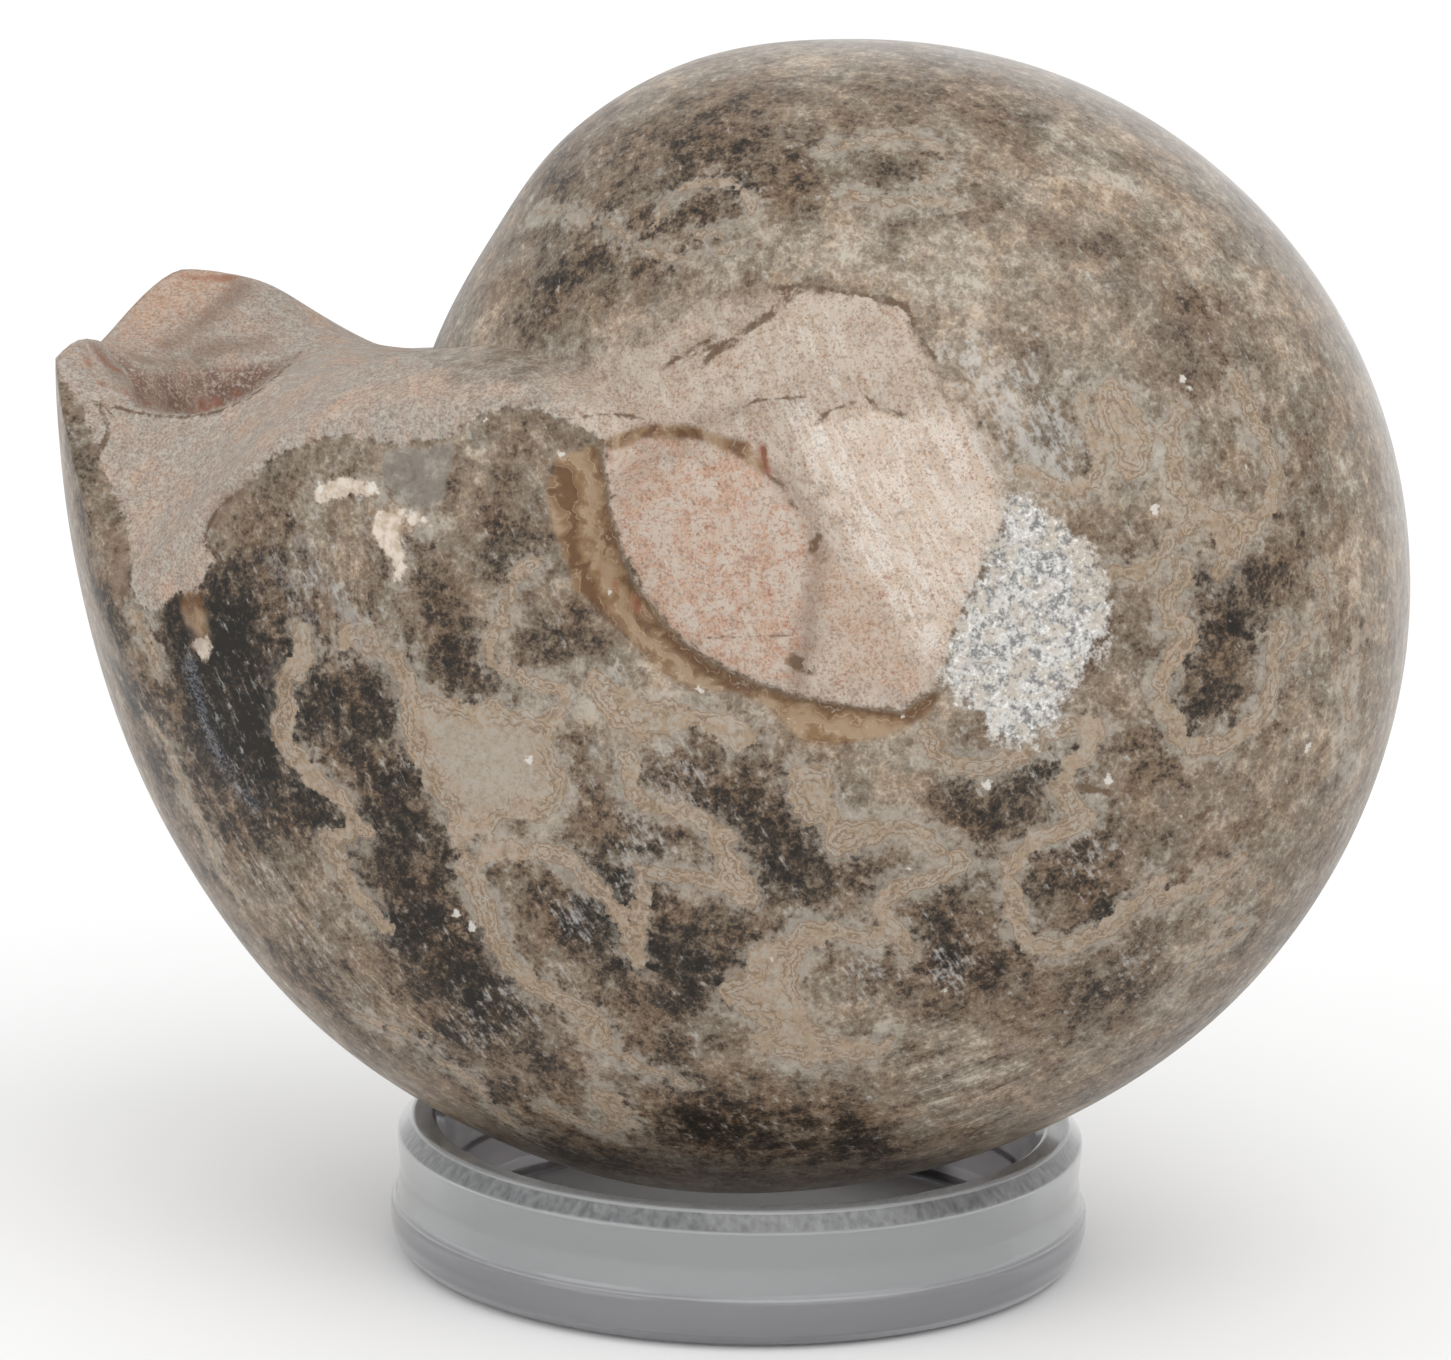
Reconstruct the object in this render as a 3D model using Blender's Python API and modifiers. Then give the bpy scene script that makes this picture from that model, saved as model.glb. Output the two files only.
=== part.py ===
"""Globose ammonite fossil, stood upright on its outer edge in a clear ring stand."""
import bmesh
import bpy
import numpy as np

MM = 0.001
COLLECTION = "ammonite_on_ring"

# Coil: radius of the outer edge in mm by degrees of growth from the notch, where the
# last whorl begins, round to the lip of the mouth.
VENTER = ((0, 33.4), (20, 33.1), (34, 33.9), (48, 33.9), (71, 32.8), (110, 33.5), (150, 36.4),
          (185, 39.9), (215, 43.6), (240, 47.0), (258, 50.2), (272, 53.0), (286, 55.1),
          (300, 56.9), (318, 57.9), (337, 58.9), (353, 60.6))
NOTCH_ANGLE = 166.0
SWEEP = 353.0
FULL_TURN = 360.0

# Whorl section: half width at the coil's axis, how square the curve is, and how far the
# flank swells, each by degrees of growth.
HALF_WIDTH = 27.5
SQUARENESS = ((0, 2.1), (150, 2.2), (SWEEP, 2.3))
SWELL = ((0, 0.0), (150, 0.0), (250, 3.0), (SWEEP, 1.0))

# Flanks: degrees that the seam and the lip turn upwards as they run into the navel, by
# radius in mm, where it starts across the whorl, and the radii where the far flank joins in.
SEAM_TURN = ((0, 40), (10, 33), (20, 23.5), (29, 12), (38, 4), (44, 0), (70, 0))
SEAM_TURN_WIDTHS = (5.0, 18.0)
FAR_SEAM_RADII = (22.0, 35.0)

# Mouth: lumps of the broken lip as (height, radius, place across, size along, size across),
# in mm, with the near flank at positive places across.
LIP_LUMPS = ((5.3, 56.2, -14.7, 8.5, 7.7), (2.4, 59.3, 5.4, 2.6, 5.3), (-4.0, 49.0, 1.0, 6.0, 8.0),
             (-2.5, 37.9, -18.9, 7.8, 10.6), (-2.3, 60.6, 3.7, 1.8, 12.6), (-2.0, 55.3, -15.8, 2.8, 2.5))
CHIP_DEPTH = 9.5
CHIP_RADIUS = 49.5
CHIP_SIZE = 8.0
CHIP_WIDTHS = (8.0, 21.0)
LIP_BLEND_START = 325.0
NOTCH_BLEND = 0.2

# Plug of rock in the near navel: centre and half sizes along X and Z, the share of its
# size over which its edge falls, its depth at the ridge between its two flats, and how
# fast the left flat, the right flat and the lower edge deepen away from there.
PLUG_CENTRE = (0.5, 0.8)
PLUG_HALF = (13.6, 11.2)
PLUG_EDGE = (0.86, 1.06)
PLUG_RIDGE_X = 1.8
PLUG_DEPTH = 0.5
PLUG_LEFT_SLOPE = 0.12
PLUG_RIGHT_SLOPE = 0.01
PLUG_LOW_SLOPE = 0.07

# Dish of the far navel: radius and depth.
DISH_RADIUS = 12.5
DISH_DEPTH = 2.2

# Grid of the fossil's faces: columns round the coil, those on the mouth, the column of
# the notch, and rows on each flank. The spacing keeps the faces near the axis small.
COLUMNS = 100
MOUTH_COLUMNS = 11
NOTCH_COLUMN = 46
NEAR_ROWS = 21
FAR_ROWS = 17
ROW_SPACING = 1.12

# Ring stand, in mm: foot, wall, bevelled lip and bore, and where it stands under the coil.
FOOT_RADIUS = 25.4
FOOT_HEIGHT = 2.7
FOOT_ROUND = 0.7
LEDGE_RADIUS = 25.0
LEDGE_HEIGHT = 3.1
WAIST_RADIUS = 24.75
WAIST_HEIGHT = 5.6
WALL_RADIUS = 25.0
WALL_HEIGHT = 8.4
LIP_RADIUS = 23.9
RING_HEIGHT = 9.5
SEAT_RADIUS = 22.1
SEAT_DROP = 0.8
BORE_RADIUS = 21.4
BORE_CHAMFER = 0.6
RING_STEPS = 56
RING_X = -8.8
COIL_HEIGHT = 56.15


def clear_scene():
    """Remove every object of the starting scene."""
    for item in list(bpy.data.objects):
        bpy.data.objects.remove(item, do_unlink=True)


def smooth(value, start, end):
    """Rise from 0 to 1 between start and end with level ends."""
    share = np.clip((value - start) / (end - start), 0.0, 1.0)
    return share * share * (3.0 - 2.0 * share)


def curve(value, points):
    """Smooth curve through a few points, at each value."""
    xs, ys = np.array(points, dtype=float).T
    slopes = np.gradient(ys, xs)
    index = np.clip(np.searchsorted(xs, value) - 1, 0, len(xs) - 2)
    step = xs[index + 1] - xs[index]
    t = np.clip((value - xs[index]) / step, 0.0, 1.0)
    start = (2 * t ** 3 - 3 * t ** 2 + 1) * ys[index] + (t ** 3 - 2 * t ** 2 + t) * step * slopes[index]
    end = (3 * t ** 2 - 2 * t ** 3) * ys[index + 1] + (t ** 3 - t ** 2) * step * slopes[index + 1]
    return start + end


def section(growth, share):
    """Radius and half width of the whorl at a share of the way from navel to outer edge."""
    turn = share * np.pi / 2
    power = 2.0 / curve(growth, SQUARENESS)
    radius = curve(growth, VENTER) * np.sin(turn) ** power
    width = HALF_WIDTH * np.cos(turn) ** power
    width = width + curve(growth, SWELL) * np.sin(np.pi * share) ** 2
    return radius, width


def lip_relief(radius, across):
    """Height of the broken lip's lumps, hollow and chip over the plane of the mouth."""
    height = np.zeros_like(radius)
    for rise, at_radius, at_across, size_along, size_across in LIP_LUMPS:
        along = (radius - at_radius) / size_along
        aside = (across - at_across) / size_across
        height += rise * np.exp(-along ** 2 - aside ** 2)
    chip = np.exp(-((radius - CHIP_RADIUS) / CHIP_SIZE) ** 2) * smooth(across, *CHIP_WIDTHS)
    return height - CHIP_DEPTH * chip


def navel_relief(points):
    """How far the near navel's plug and the far navel's dish lie inside the flanks, along Y."""
    x, y, z = points.T
    reach = np.hypot((x - PLUG_CENTRE[0]) / PLUG_HALF[0], (z - PLUG_CENTRE[1]) / PLUG_HALF[1])
    aside = x - PLUG_RIDGE_X
    slope = np.where(aside < 0, -PLUG_LEFT_SLOPE * aside, PLUG_RIGHT_SLOPE * aside)
    slope += PLUG_LOW_SLOPE * np.maximum(-z, 0.0)
    plug = (1.0 - smooth(reach, *PLUG_EDGE)) * (PLUG_DEPTH + slope)
    dish = DISH_DEPTH * (1.0 - smooth(np.hypot(x, z), 0.3 * DISH_RADIUS, DISH_RADIUS))
    return np.where(y < 0, plug, -dish)


def fossil_points(turn, row):
    """Points of the fossil's surface about the coil's centre, in mm.

    turn is in degrees round the coil from the notch, and row runs from 0 at the near
    navel over the outer edge at NEAR_ROWS to the far navel at NEAR_ROWS + FAR_ROWS.
    """
    near = row <= NEAR_ROWS
    flank = np.where(near, 1.0, -1.0)
    share = np.where(near, row / NEAR_ROWS, (NEAR_ROWS + FAR_ROWS - row) / FAR_ROWS) ** ROW_SPACING
    mouth_span = MOUTH_COLUMNS * FULL_TURN / COLUMNS
    shell_span = FULL_TURN - mouth_span
    growth = np.minimum(turn / shell_span, 1.0) * SWEEP
    mouth = np.clip((turn - shell_span) / mouth_span, 0.0, 1.0)
    lip_radius, lip_width = section(growth, share)
    notch_radius, notch_width = section(np.zeros_like(share), share)
    radius = lip_radius + (notch_radius - lip_radius) * mouth
    width = lip_width + (notch_width - lip_width) * mouth
    across = width * flank
    joins = np.where(near, 1.0, 1.0 - smooth(radius, *FAR_SEAM_RADII))
    seam_turn = curve(radius, SEAM_TURN) * smooth(width, *SEAM_TURN_WIDTHS) * joins
    angle = np.radians(NOTCH_ANGLE - growth - (FULL_TURN - SWEEP) * mouth - seam_turn)
    points = np.stack((radius * np.cos(angle), -across, radius * np.sin(angle)), axis=1)
    lip_angle = np.radians(NOTCH_ANGLE - SWEEP)
    outwards = np.array((np.sin(lip_angle), 0.0, -np.cos(lip_angle)))
    blend = smooth(growth, LIP_BLEND_START, SWEEP) * smooth(1.0 - mouth, 0.0, NOTCH_BLEND)
    points += np.outer(lip_relief(radius, across) * blend, outwards)
    points[:, 1] += navel_relief(points)
    return points


def new_object(name, mesh, collection):
    """Make an object from a finished mesh and put it in the collection."""
    data = bpy.data.meshes.new(name)
    mesh.to_mesh(data)
    mesh.free()
    item = bpy.data.objects.new(name, data)
    collection.objects.link(item)
    return item


def shade_smooth(item):
    """Shade every face of an object smooth."""
    for face in item.data.polygons:
        face.use_smooth = True


def make_material(name, colour, roughness, transmission=0.0, alpha=1.0):
    """Plain Principled material."""
    material = bpy.data.materials.new(name)
    material.use_nodes = True
    shader = material.node_tree.nodes["Principled BSDF"]
    shader.inputs["Base Color"].default_value = (*colour, 1.0)
    shader.inputs["Roughness"].default_value = roughness
    shader.inputs["Transmission Weight"].default_value = transmission
    shader.inputs["Alpha"].default_value = alpha
    return material


def make_fossil(collection):
    """The whole ammonite: a spiral globe with a broken mouth and a plugged navel."""
    mesh = bmesh.new()
    bmesh.ops.create_uvsphere(mesh, u_segments=COLUMNS, v_segments=NEAR_ROWS + FAR_ROWS, radius=1.0)
    x, y, z = np.array([vertex.co for vertex in mesh.verts]).T
    start = NOTCH_COLUMN * FULL_TURN / COLUMNS
    turn = (start - np.degrees(np.arctan2(y, x))) % FULL_TURN
    row = np.arccos(np.clip(z, -1.0, 1.0)) / np.pi * (NEAR_ROWS + FAR_ROWS)
    points = fossil_points(turn, row) * MM
    low, high = points.min(axis=0), points.max(axis=0)
    for vertex, point in zip(mesh.verts, points):
        vertex.co = point
    bmesh.ops.triangulate(mesh, faces=mesh.faces[:])
    bmesh.ops.recalc_face_normals(mesh, faces=mesh.faces[:])
    item = new_object("ammonite", mesh, collection)
    item.location = (-(low[0] + high[0]) / 2, -(low[1] + high[1]) / 2, COIL_HEIGHT * MM)
    item.data.materials.append(make_material("stone_brown", (0.20, 0.15, 0.11), 0.5))
    shade_smooth(item)
    return item


def ring_profile():
    """Closed outline of the ring's wall, from the lip down the outside and up the bore."""
    return (
        (SEAT_RADIUS, RING_HEIGHT),
        (LIP_RADIUS, RING_HEIGHT),
        (WALL_RADIUS, WALL_HEIGHT),
        (WAIST_RADIUS, WAIST_HEIGHT),
        (LEDGE_RADIUS, LEDGE_HEIGHT),
        (FOOT_RADIUS, FOOT_HEIGHT),
        (FOOT_RADIUS, FOOT_ROUND),
        (FOOT_RADIUS - FOOT_ROUND, 0.0),
        (BORE_RADIUS + BORE_CHAMFER, 0.0),
        (BORE_RADIUS, BORE_CHAMFER),
        (BORE_RADIUS, RING_HEIGHT - SEAT_DROP),
    )


def make_ring(collection, fossil):
    """The clear ring that holds the fossil up, turned from one outline."""
    mesh = bmesh.new()
    outline = [mesh.verts.new((radius * MM, 0.0, height * MM)) for radius, height in ring_profile()]
    for first, second in zip(outline, outline[1:] + outline[:1]):
        mesh.edges.new((first, second))
    item = new_object("ring_stand", mesh, collection)
    screw = item.modifiers.new("turned", "SCREW")
    screw.axis = "Z"
    screw.steps = RING_STEPS
    screw.render_steps = RING_STEPS
    screw.use_merge_vertices = True
    screw.merge_threshold = 0.00001
    screw.use_normal_calculate = True
    item.location = (fossil.location.x + RING_X * MM, fossil.location.y, 0.0)
    item.data.materials.append(
        make_material("acrylic_clear", (0.86, 0.88, 0.89), 0.08, transmission=0.9, alpha=0.35))
    return item


def main():
    """Build the fossil and its stand."""
    clear_scene()
    collection = bpy.data.collections.new(COLLECTION)
    bpy.context.scene.collection.children.link(collection)
    fossil = make_fossil(collection)
    make_ring(collection, fossil)


main()
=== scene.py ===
"""Looks of the ammonite fossil: polished stone with sutures and a rock-filled navel, on a clear ring."""

import math

import bmesh
import bpy
import numpy as np
from mathutils import Matrix, Vector
from mathutils.bvhtree import BVHTree
from mathutils.kdtree import KDTree


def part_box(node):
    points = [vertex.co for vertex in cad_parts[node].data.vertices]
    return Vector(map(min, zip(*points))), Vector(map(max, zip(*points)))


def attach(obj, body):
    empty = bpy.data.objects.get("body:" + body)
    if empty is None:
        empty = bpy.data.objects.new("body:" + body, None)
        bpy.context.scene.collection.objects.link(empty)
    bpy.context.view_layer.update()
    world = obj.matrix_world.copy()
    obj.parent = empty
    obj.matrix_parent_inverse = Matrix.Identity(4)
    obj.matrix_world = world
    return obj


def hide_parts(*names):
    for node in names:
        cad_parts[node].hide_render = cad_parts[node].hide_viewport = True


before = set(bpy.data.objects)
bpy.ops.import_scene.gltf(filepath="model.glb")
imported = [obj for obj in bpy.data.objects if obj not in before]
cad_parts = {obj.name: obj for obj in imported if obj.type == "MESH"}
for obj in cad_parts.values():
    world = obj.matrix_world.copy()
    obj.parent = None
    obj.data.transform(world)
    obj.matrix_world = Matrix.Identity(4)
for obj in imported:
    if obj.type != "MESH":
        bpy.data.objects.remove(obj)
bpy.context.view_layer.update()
MM = 0.001
FULL_TURN = 360.0

# Photograph: frame size in pixels, and the view of the coil's centre in it.
PHOTO_WIDTH = 1451
PHOTO_HEIGHT = 1360
VIEW_AZIMUTH = 13.6
VIEW_ELEVATION = 13.0
VIEW_ROLL = 1.2
VIEW_DISTANCE = 0.5
PIXELS_PER_MM = 14.04
COIL_PIXEL = (874, 501)
SENSOR_WIDTH = 36.0
CLIP_RANGE = (0.01, 20.0)

# Place of the coil's centre, from the ring that the fossil stands in.
RING_LOW, RING_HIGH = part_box("ring_stand")
RING_CENTRE = (RING_LOW + RING_HIGH) / 2
RING_BEHIND_COIL = 8.8 * MM
COIL_HEIGHT = 56.15 * MM
COIL = Vector((RING_CENTRE.x + RING_BEHIND_COIL, RING_CENTRE.y, COIL_HEIGHT))
FOSSIL_LOW, FOSSIL_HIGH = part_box("ammonite")

# Coil, in mm by degrees of growth from the notch: the same shape as the solid.
VENTER = ((0, 33.4), (20, 33.1), (34, 33.9), (48, 33.9), (71, 32.8), (110, 33.5), (150, 36.4),
          (185, 39.9), (215, 43.6), (240, 47.0), (258, 50.2), (272, 53.0), (286, 55.1),
          (300, 56.9), (318, 57.9), (337, 58.9), (353, 60.6))
NOTCH_ANGLE = 166.0
SWEEP = 353.0
HALF_WIDTH = 27.5
SQUARENESS = ((0, 2.1), (150, 2.2), (SWEEP, 2.3))
SWELL = ((0, 0.0), (150, 0.0), (250, 3.0), (SWEEP, 1.0))
SEAM_TURN = ((0, 40), (10, 33), (20, 23.5), (29, 12), (38, 4), (44, 0), (70, 0))
SEAM_TURN_WIDTHS = (5.0, 18.0)
FAR_SEAM_RADII = (22.0, 35.0)
LIP_LUMPS = ((5.3, 56.2, -14.7, 8.5, 7.7), (2.4, 59.3, 5.4, 2.6, 5.3), (-4.0, 49.0, 1.0, 6.0, 8.0),
             (-2.5, 37.9, -18.9, 7.8, 10.6), (-2.3, 60.6, 3.7, 1.8, 12.6), (-2.0, 55.3, -15.8, 2.8, 2.5))
CHIP_DEPTH = 9.5
CHIP_RADIUS = 49.5
CHIP_SIZE = 8.0
CHIP_WIDTHS = (8.0, 21.0)
LIP_BLEND_START = 325.0
NOTCH_BLEND = 0.2
PLUG_CENTRE = (0.5, 0.8)
PLUG_HALF = (13.6, 11.2)
PLUG_EDGE = (0.86, 1.06)
PLUG_RIDGE_X = 1.8
PLUG_DEPTH = 0.5
PLUG_LEFT_SLOPE = 0.12
PLUG_RIGHT_SLOPE = 0.01
PLUG_LOW_SLOPE = 0.07
DISH_RADIUS = 12.5
DISH_DEPTH = 2.2
DISH_FLAT = 0.3
ROW_SPACING = 1.12

# Grid of the polished surface, five times as fine as the solid's round the coil.
COLUMNS = 500
MOUTH_COLUMNS = 55
NOTCH_COLUMN = 230
NEAR_ROWS = 122
FAR_ROWS = 68

# Suture bands: half width in mm, then the run of pixels of the photograph that each one follows.
BANDS = (
    (0.85, ((300, 632), (303, 658), (284, 679), (287, 706), (279, 731), (294, 755),
            (315, 779), (332, 790))),
    (0.60, ((332, 790), (343, 800), (353, 817), (367, 831), (346, 838), (326, 838))),
    (0.75, ((326, 838), (336, 860), (353, 887), (374, 914), (386, 930))),
    (0.80, ((344, 642), (350, 632), (364, 631), (374, 647), (395, 658), (407, 679), (410, 706),
            (412, 730), (419, 755))),
    (0.55, ((534, 561), (513, 582), (502, 620), (489, 640), (492, 658), (513, 675), (541, 686),
            (565, 693), (558, 716), (534, 722), (530, 738), (544, 758), (561, 776))),
    (0.70, ((470, 862), (500, 850), (520, 850), (545, 852), (570, 862), (585, 880), (600, 890),
            (612, 905), (625, 925), (632, 945), (637, 960))),
    (0.90, ((466, 868), (478, 890), (488, 920), (494, 940), (508, 962), (530, 982), (560, 1000),
            (590, 1016), (602, 1032), (592, 1046))),
    (0.45, ((592, 1046), (620, 1056), (650, 1070), (682, 1083))),
    (0.70, ((628, 760), (632, 790), (650, 805), (688, 813), (711, 825), (726, 838))),
    (0.55, ((637, 868), (642, 900), (638, 930), (640, 958))),
    (0.60, ((647, 870), (668, 874), (690, 876), (712, 882))),
    (0.75, ((928, 734), (940, 757), (973, 768), (1005, 762), (1032, 745), (1046, 730), (1073, 726),
            (1096, 727), (1090, 748), (1068, 770), (1063, 790), (1075, 806), (1087, 818), (1055, 834),
            (1023, 850), (1010, 875), (1014, 902), (1019, 929), (1046, 948), (1075, 943), (1110, 925),
            (1132, 904), (1160, 884))),
    (0.65, ((1160, 900), (1190, 890), (1223, 872), (1238, 858))),
    (0.60, ((1228, 868), (1222, 888), (1212, 904))),
    (0.45, ((1225, 922), (1250, 922), (1228, 943), (1196, 961), (1178, 988))),
    (0.70, ((890, 826), (919, 835), (937, 850), (962, 858), (950, 872), (930, 880), (900, 888),
            (880, 902), (888, 920), (900, 934), (908, 950))),
    (0.65, ((850, 936), (872, 938), (892, 930))),
    (0.75, ((1175, 560), (1184, 577), (1168, 598), (1168, 618), (1190, 632), (1176, 655), (1163, 676),
            (1164, 706), (1178, 735), (1197, 748), (1220, 744), (1246, 730), (1267, 702), (1276, 673),
            (1270, 648), (1282, 630))),
    (0.60, ((1112, 572), (1138, 570), (1154, 560), (1175, 538), (1192, 524))),
    (0.55, ((1080, 395), (1088, 430), (1100, 457), (1092, 480), (1075, 492), (1050, 484), (1022, 468))),
    (0.75, ((1180, 412), (1172, 430), (1176, 455), (1176, 478), (1184, 497), (1198, 512), (1215, 526),
            (1232, 540))),
    (0.75, ((1235, 378), (1245, 402), (1258, 427), (1272, 457), (1275, 485), (1266, 512), (1245, 532),
            (1228, 550), (1222, 572))),
    (0.50, ((1315, 570), (1325, 600), (1305, 640), (1285, 665))),
    (0.50, ((1372, 622), (1352, 650), (1346, 700), (1352, 722))),
    (0.28, ((1345, 742), (1347, 770), (1340, 798))),
    (0.32, ((655, 226), (668, 200), (690, 186), (720, 181), (745, 193), (749, 214),
            (730, 228), (700, 234))),
    (0.45, ((822, 148), (855, 145), (888, 138), (925, 140), (946, 160), (928, 182))),
    (0.45, ((850, 196), (880, 204), (920, 200), (956, 206))),
    (0.22, ((534, 214), (569, 211), (604, 222), (639, 245), (674, 258), (720, 250), (761, 244))),
    (0.50, ((150, 722), (170, 752), (184, 790), (205, 830), (214, 860), (236, 892))),
    (0.45, ((132, 610), (148, 636), (160, 668))),
    (0.45, ((440, 1062), (470, 1080), (486, 1100), (502, 1116), (522, 1130))),
    (0.55, ((545, 1108), (575, 1120), (605, 1130), (632, 1124))),
    (0.30, ((315, 496), (330, 485), (355, 481), (376, 490), (370, 508))),
    (0.50, ((360, 1018), (395, 1030), (430, 1046))),
)

# Pale patches between the sutures, closed outlines in pixels.
PATCHES = (
    ((402, 672), (420, 690), (450, 700), (480, 705), (500, 700), (520, 712), (545, 712), (560, 722),
     (553, 745), (562, 765), (572, 785), (565, 800), (545, 826), (520, 815), (500, 825), (505, 842),
     (480, 832), (465, 850), (450, 842), (447, 812), (432, 795), (420, 780), (412, 760), (404, 740),
     (400, 715), (398, 690)),
    ((718, 990), (730, 978), (752, 970), (742, 957), (757, 943), (785, 938), (795, 926), (815, 918),
     (838, 923), (850, 938), (830, 945), (812, 950), (802, 965), (798, 985), (806, 1008), (820, 1028),
     (845, 1040), (875, 1040), (895, 1032), (890, 1052), (870, 1060), (840, 1062), (810, 1066),
     (785, 1060), (755, 1050), (750, 1036), (765, 1022), (745, 1018), (725, 1005)),
    ((785, 770), (800, 762), (820, 765), (835, 775), (832, 800), (840, 820), (870, 815), (890, 822),
     (885, 842), (860, 852), (835, 856), (820, 845), (822, 830), (800, 822), (790, 808), (787, 790)),
    ((700, 820), (725, 828), (733, 850), (745, 868), (760, 885), (757, 906), (740, 905), (720, 893),
     (700, 886), (680, 880), (690, 870), (715, 872), (712, 855), (705, 840)),
    ((370, 508), (395, 503), (410, 515), (430, 522), (425, 532), (405, 530), (403, 580), (396, 582),
     (392, 560), (378, 548), (370, 530)),
    ((1092, 385), (1112, 375), (1132, 395), (1147, 420), (1156, 442), (1150, 470), (1130, 485),
     (1114, 470), (1105, 440), (1094, 420)),
    ((590, 1084), (618, 1092), (634, 1112), (622, 1128), (604, 1116), (592, 1100)),
    ((575, 1030), (598, 1020), (612, 1030), (604, 1046), (584, 1048)),
    ((590, 668), (640, 694), (700, 706), (742, 720), (764, 742), (736, 752), (700, 728), (664, 738),
     (640, 742), (604, 720), (582, 690)),
    ((1208, 512), (1240, 508), (1262, 520), (1250, 545), (1235, 565), (1222, 548), (1210, 530)),
)

# Streaky pale ground, closed outlines in pixels.
STREAKS = (
    ((215, 838), (250, 850), (300, 880), (345, 925), (360, 950), (345, 965), (310, 950), (280, 915),
     (240, 880)),
    ((895, 1035), (930, 1015), (950, 1020), (960, 1045), (1000, 1045), (1022, 1055), (1012, 1080),
     (1005, 1100), (985, 1112), (980, 1136), (960, 1130), (940, 1112), (905, 1112), (915, 1085),
     (890, 1065)),
    ((340, 960), (390, 985), (440, 1015), (470, 1040), (430, 1050), (370, 1010), (330, 980)),
    ((280, 560), (320, 545), (360, 560), (380, 600), (350, 660), (320, 640), (300, 600)),
)

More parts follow.
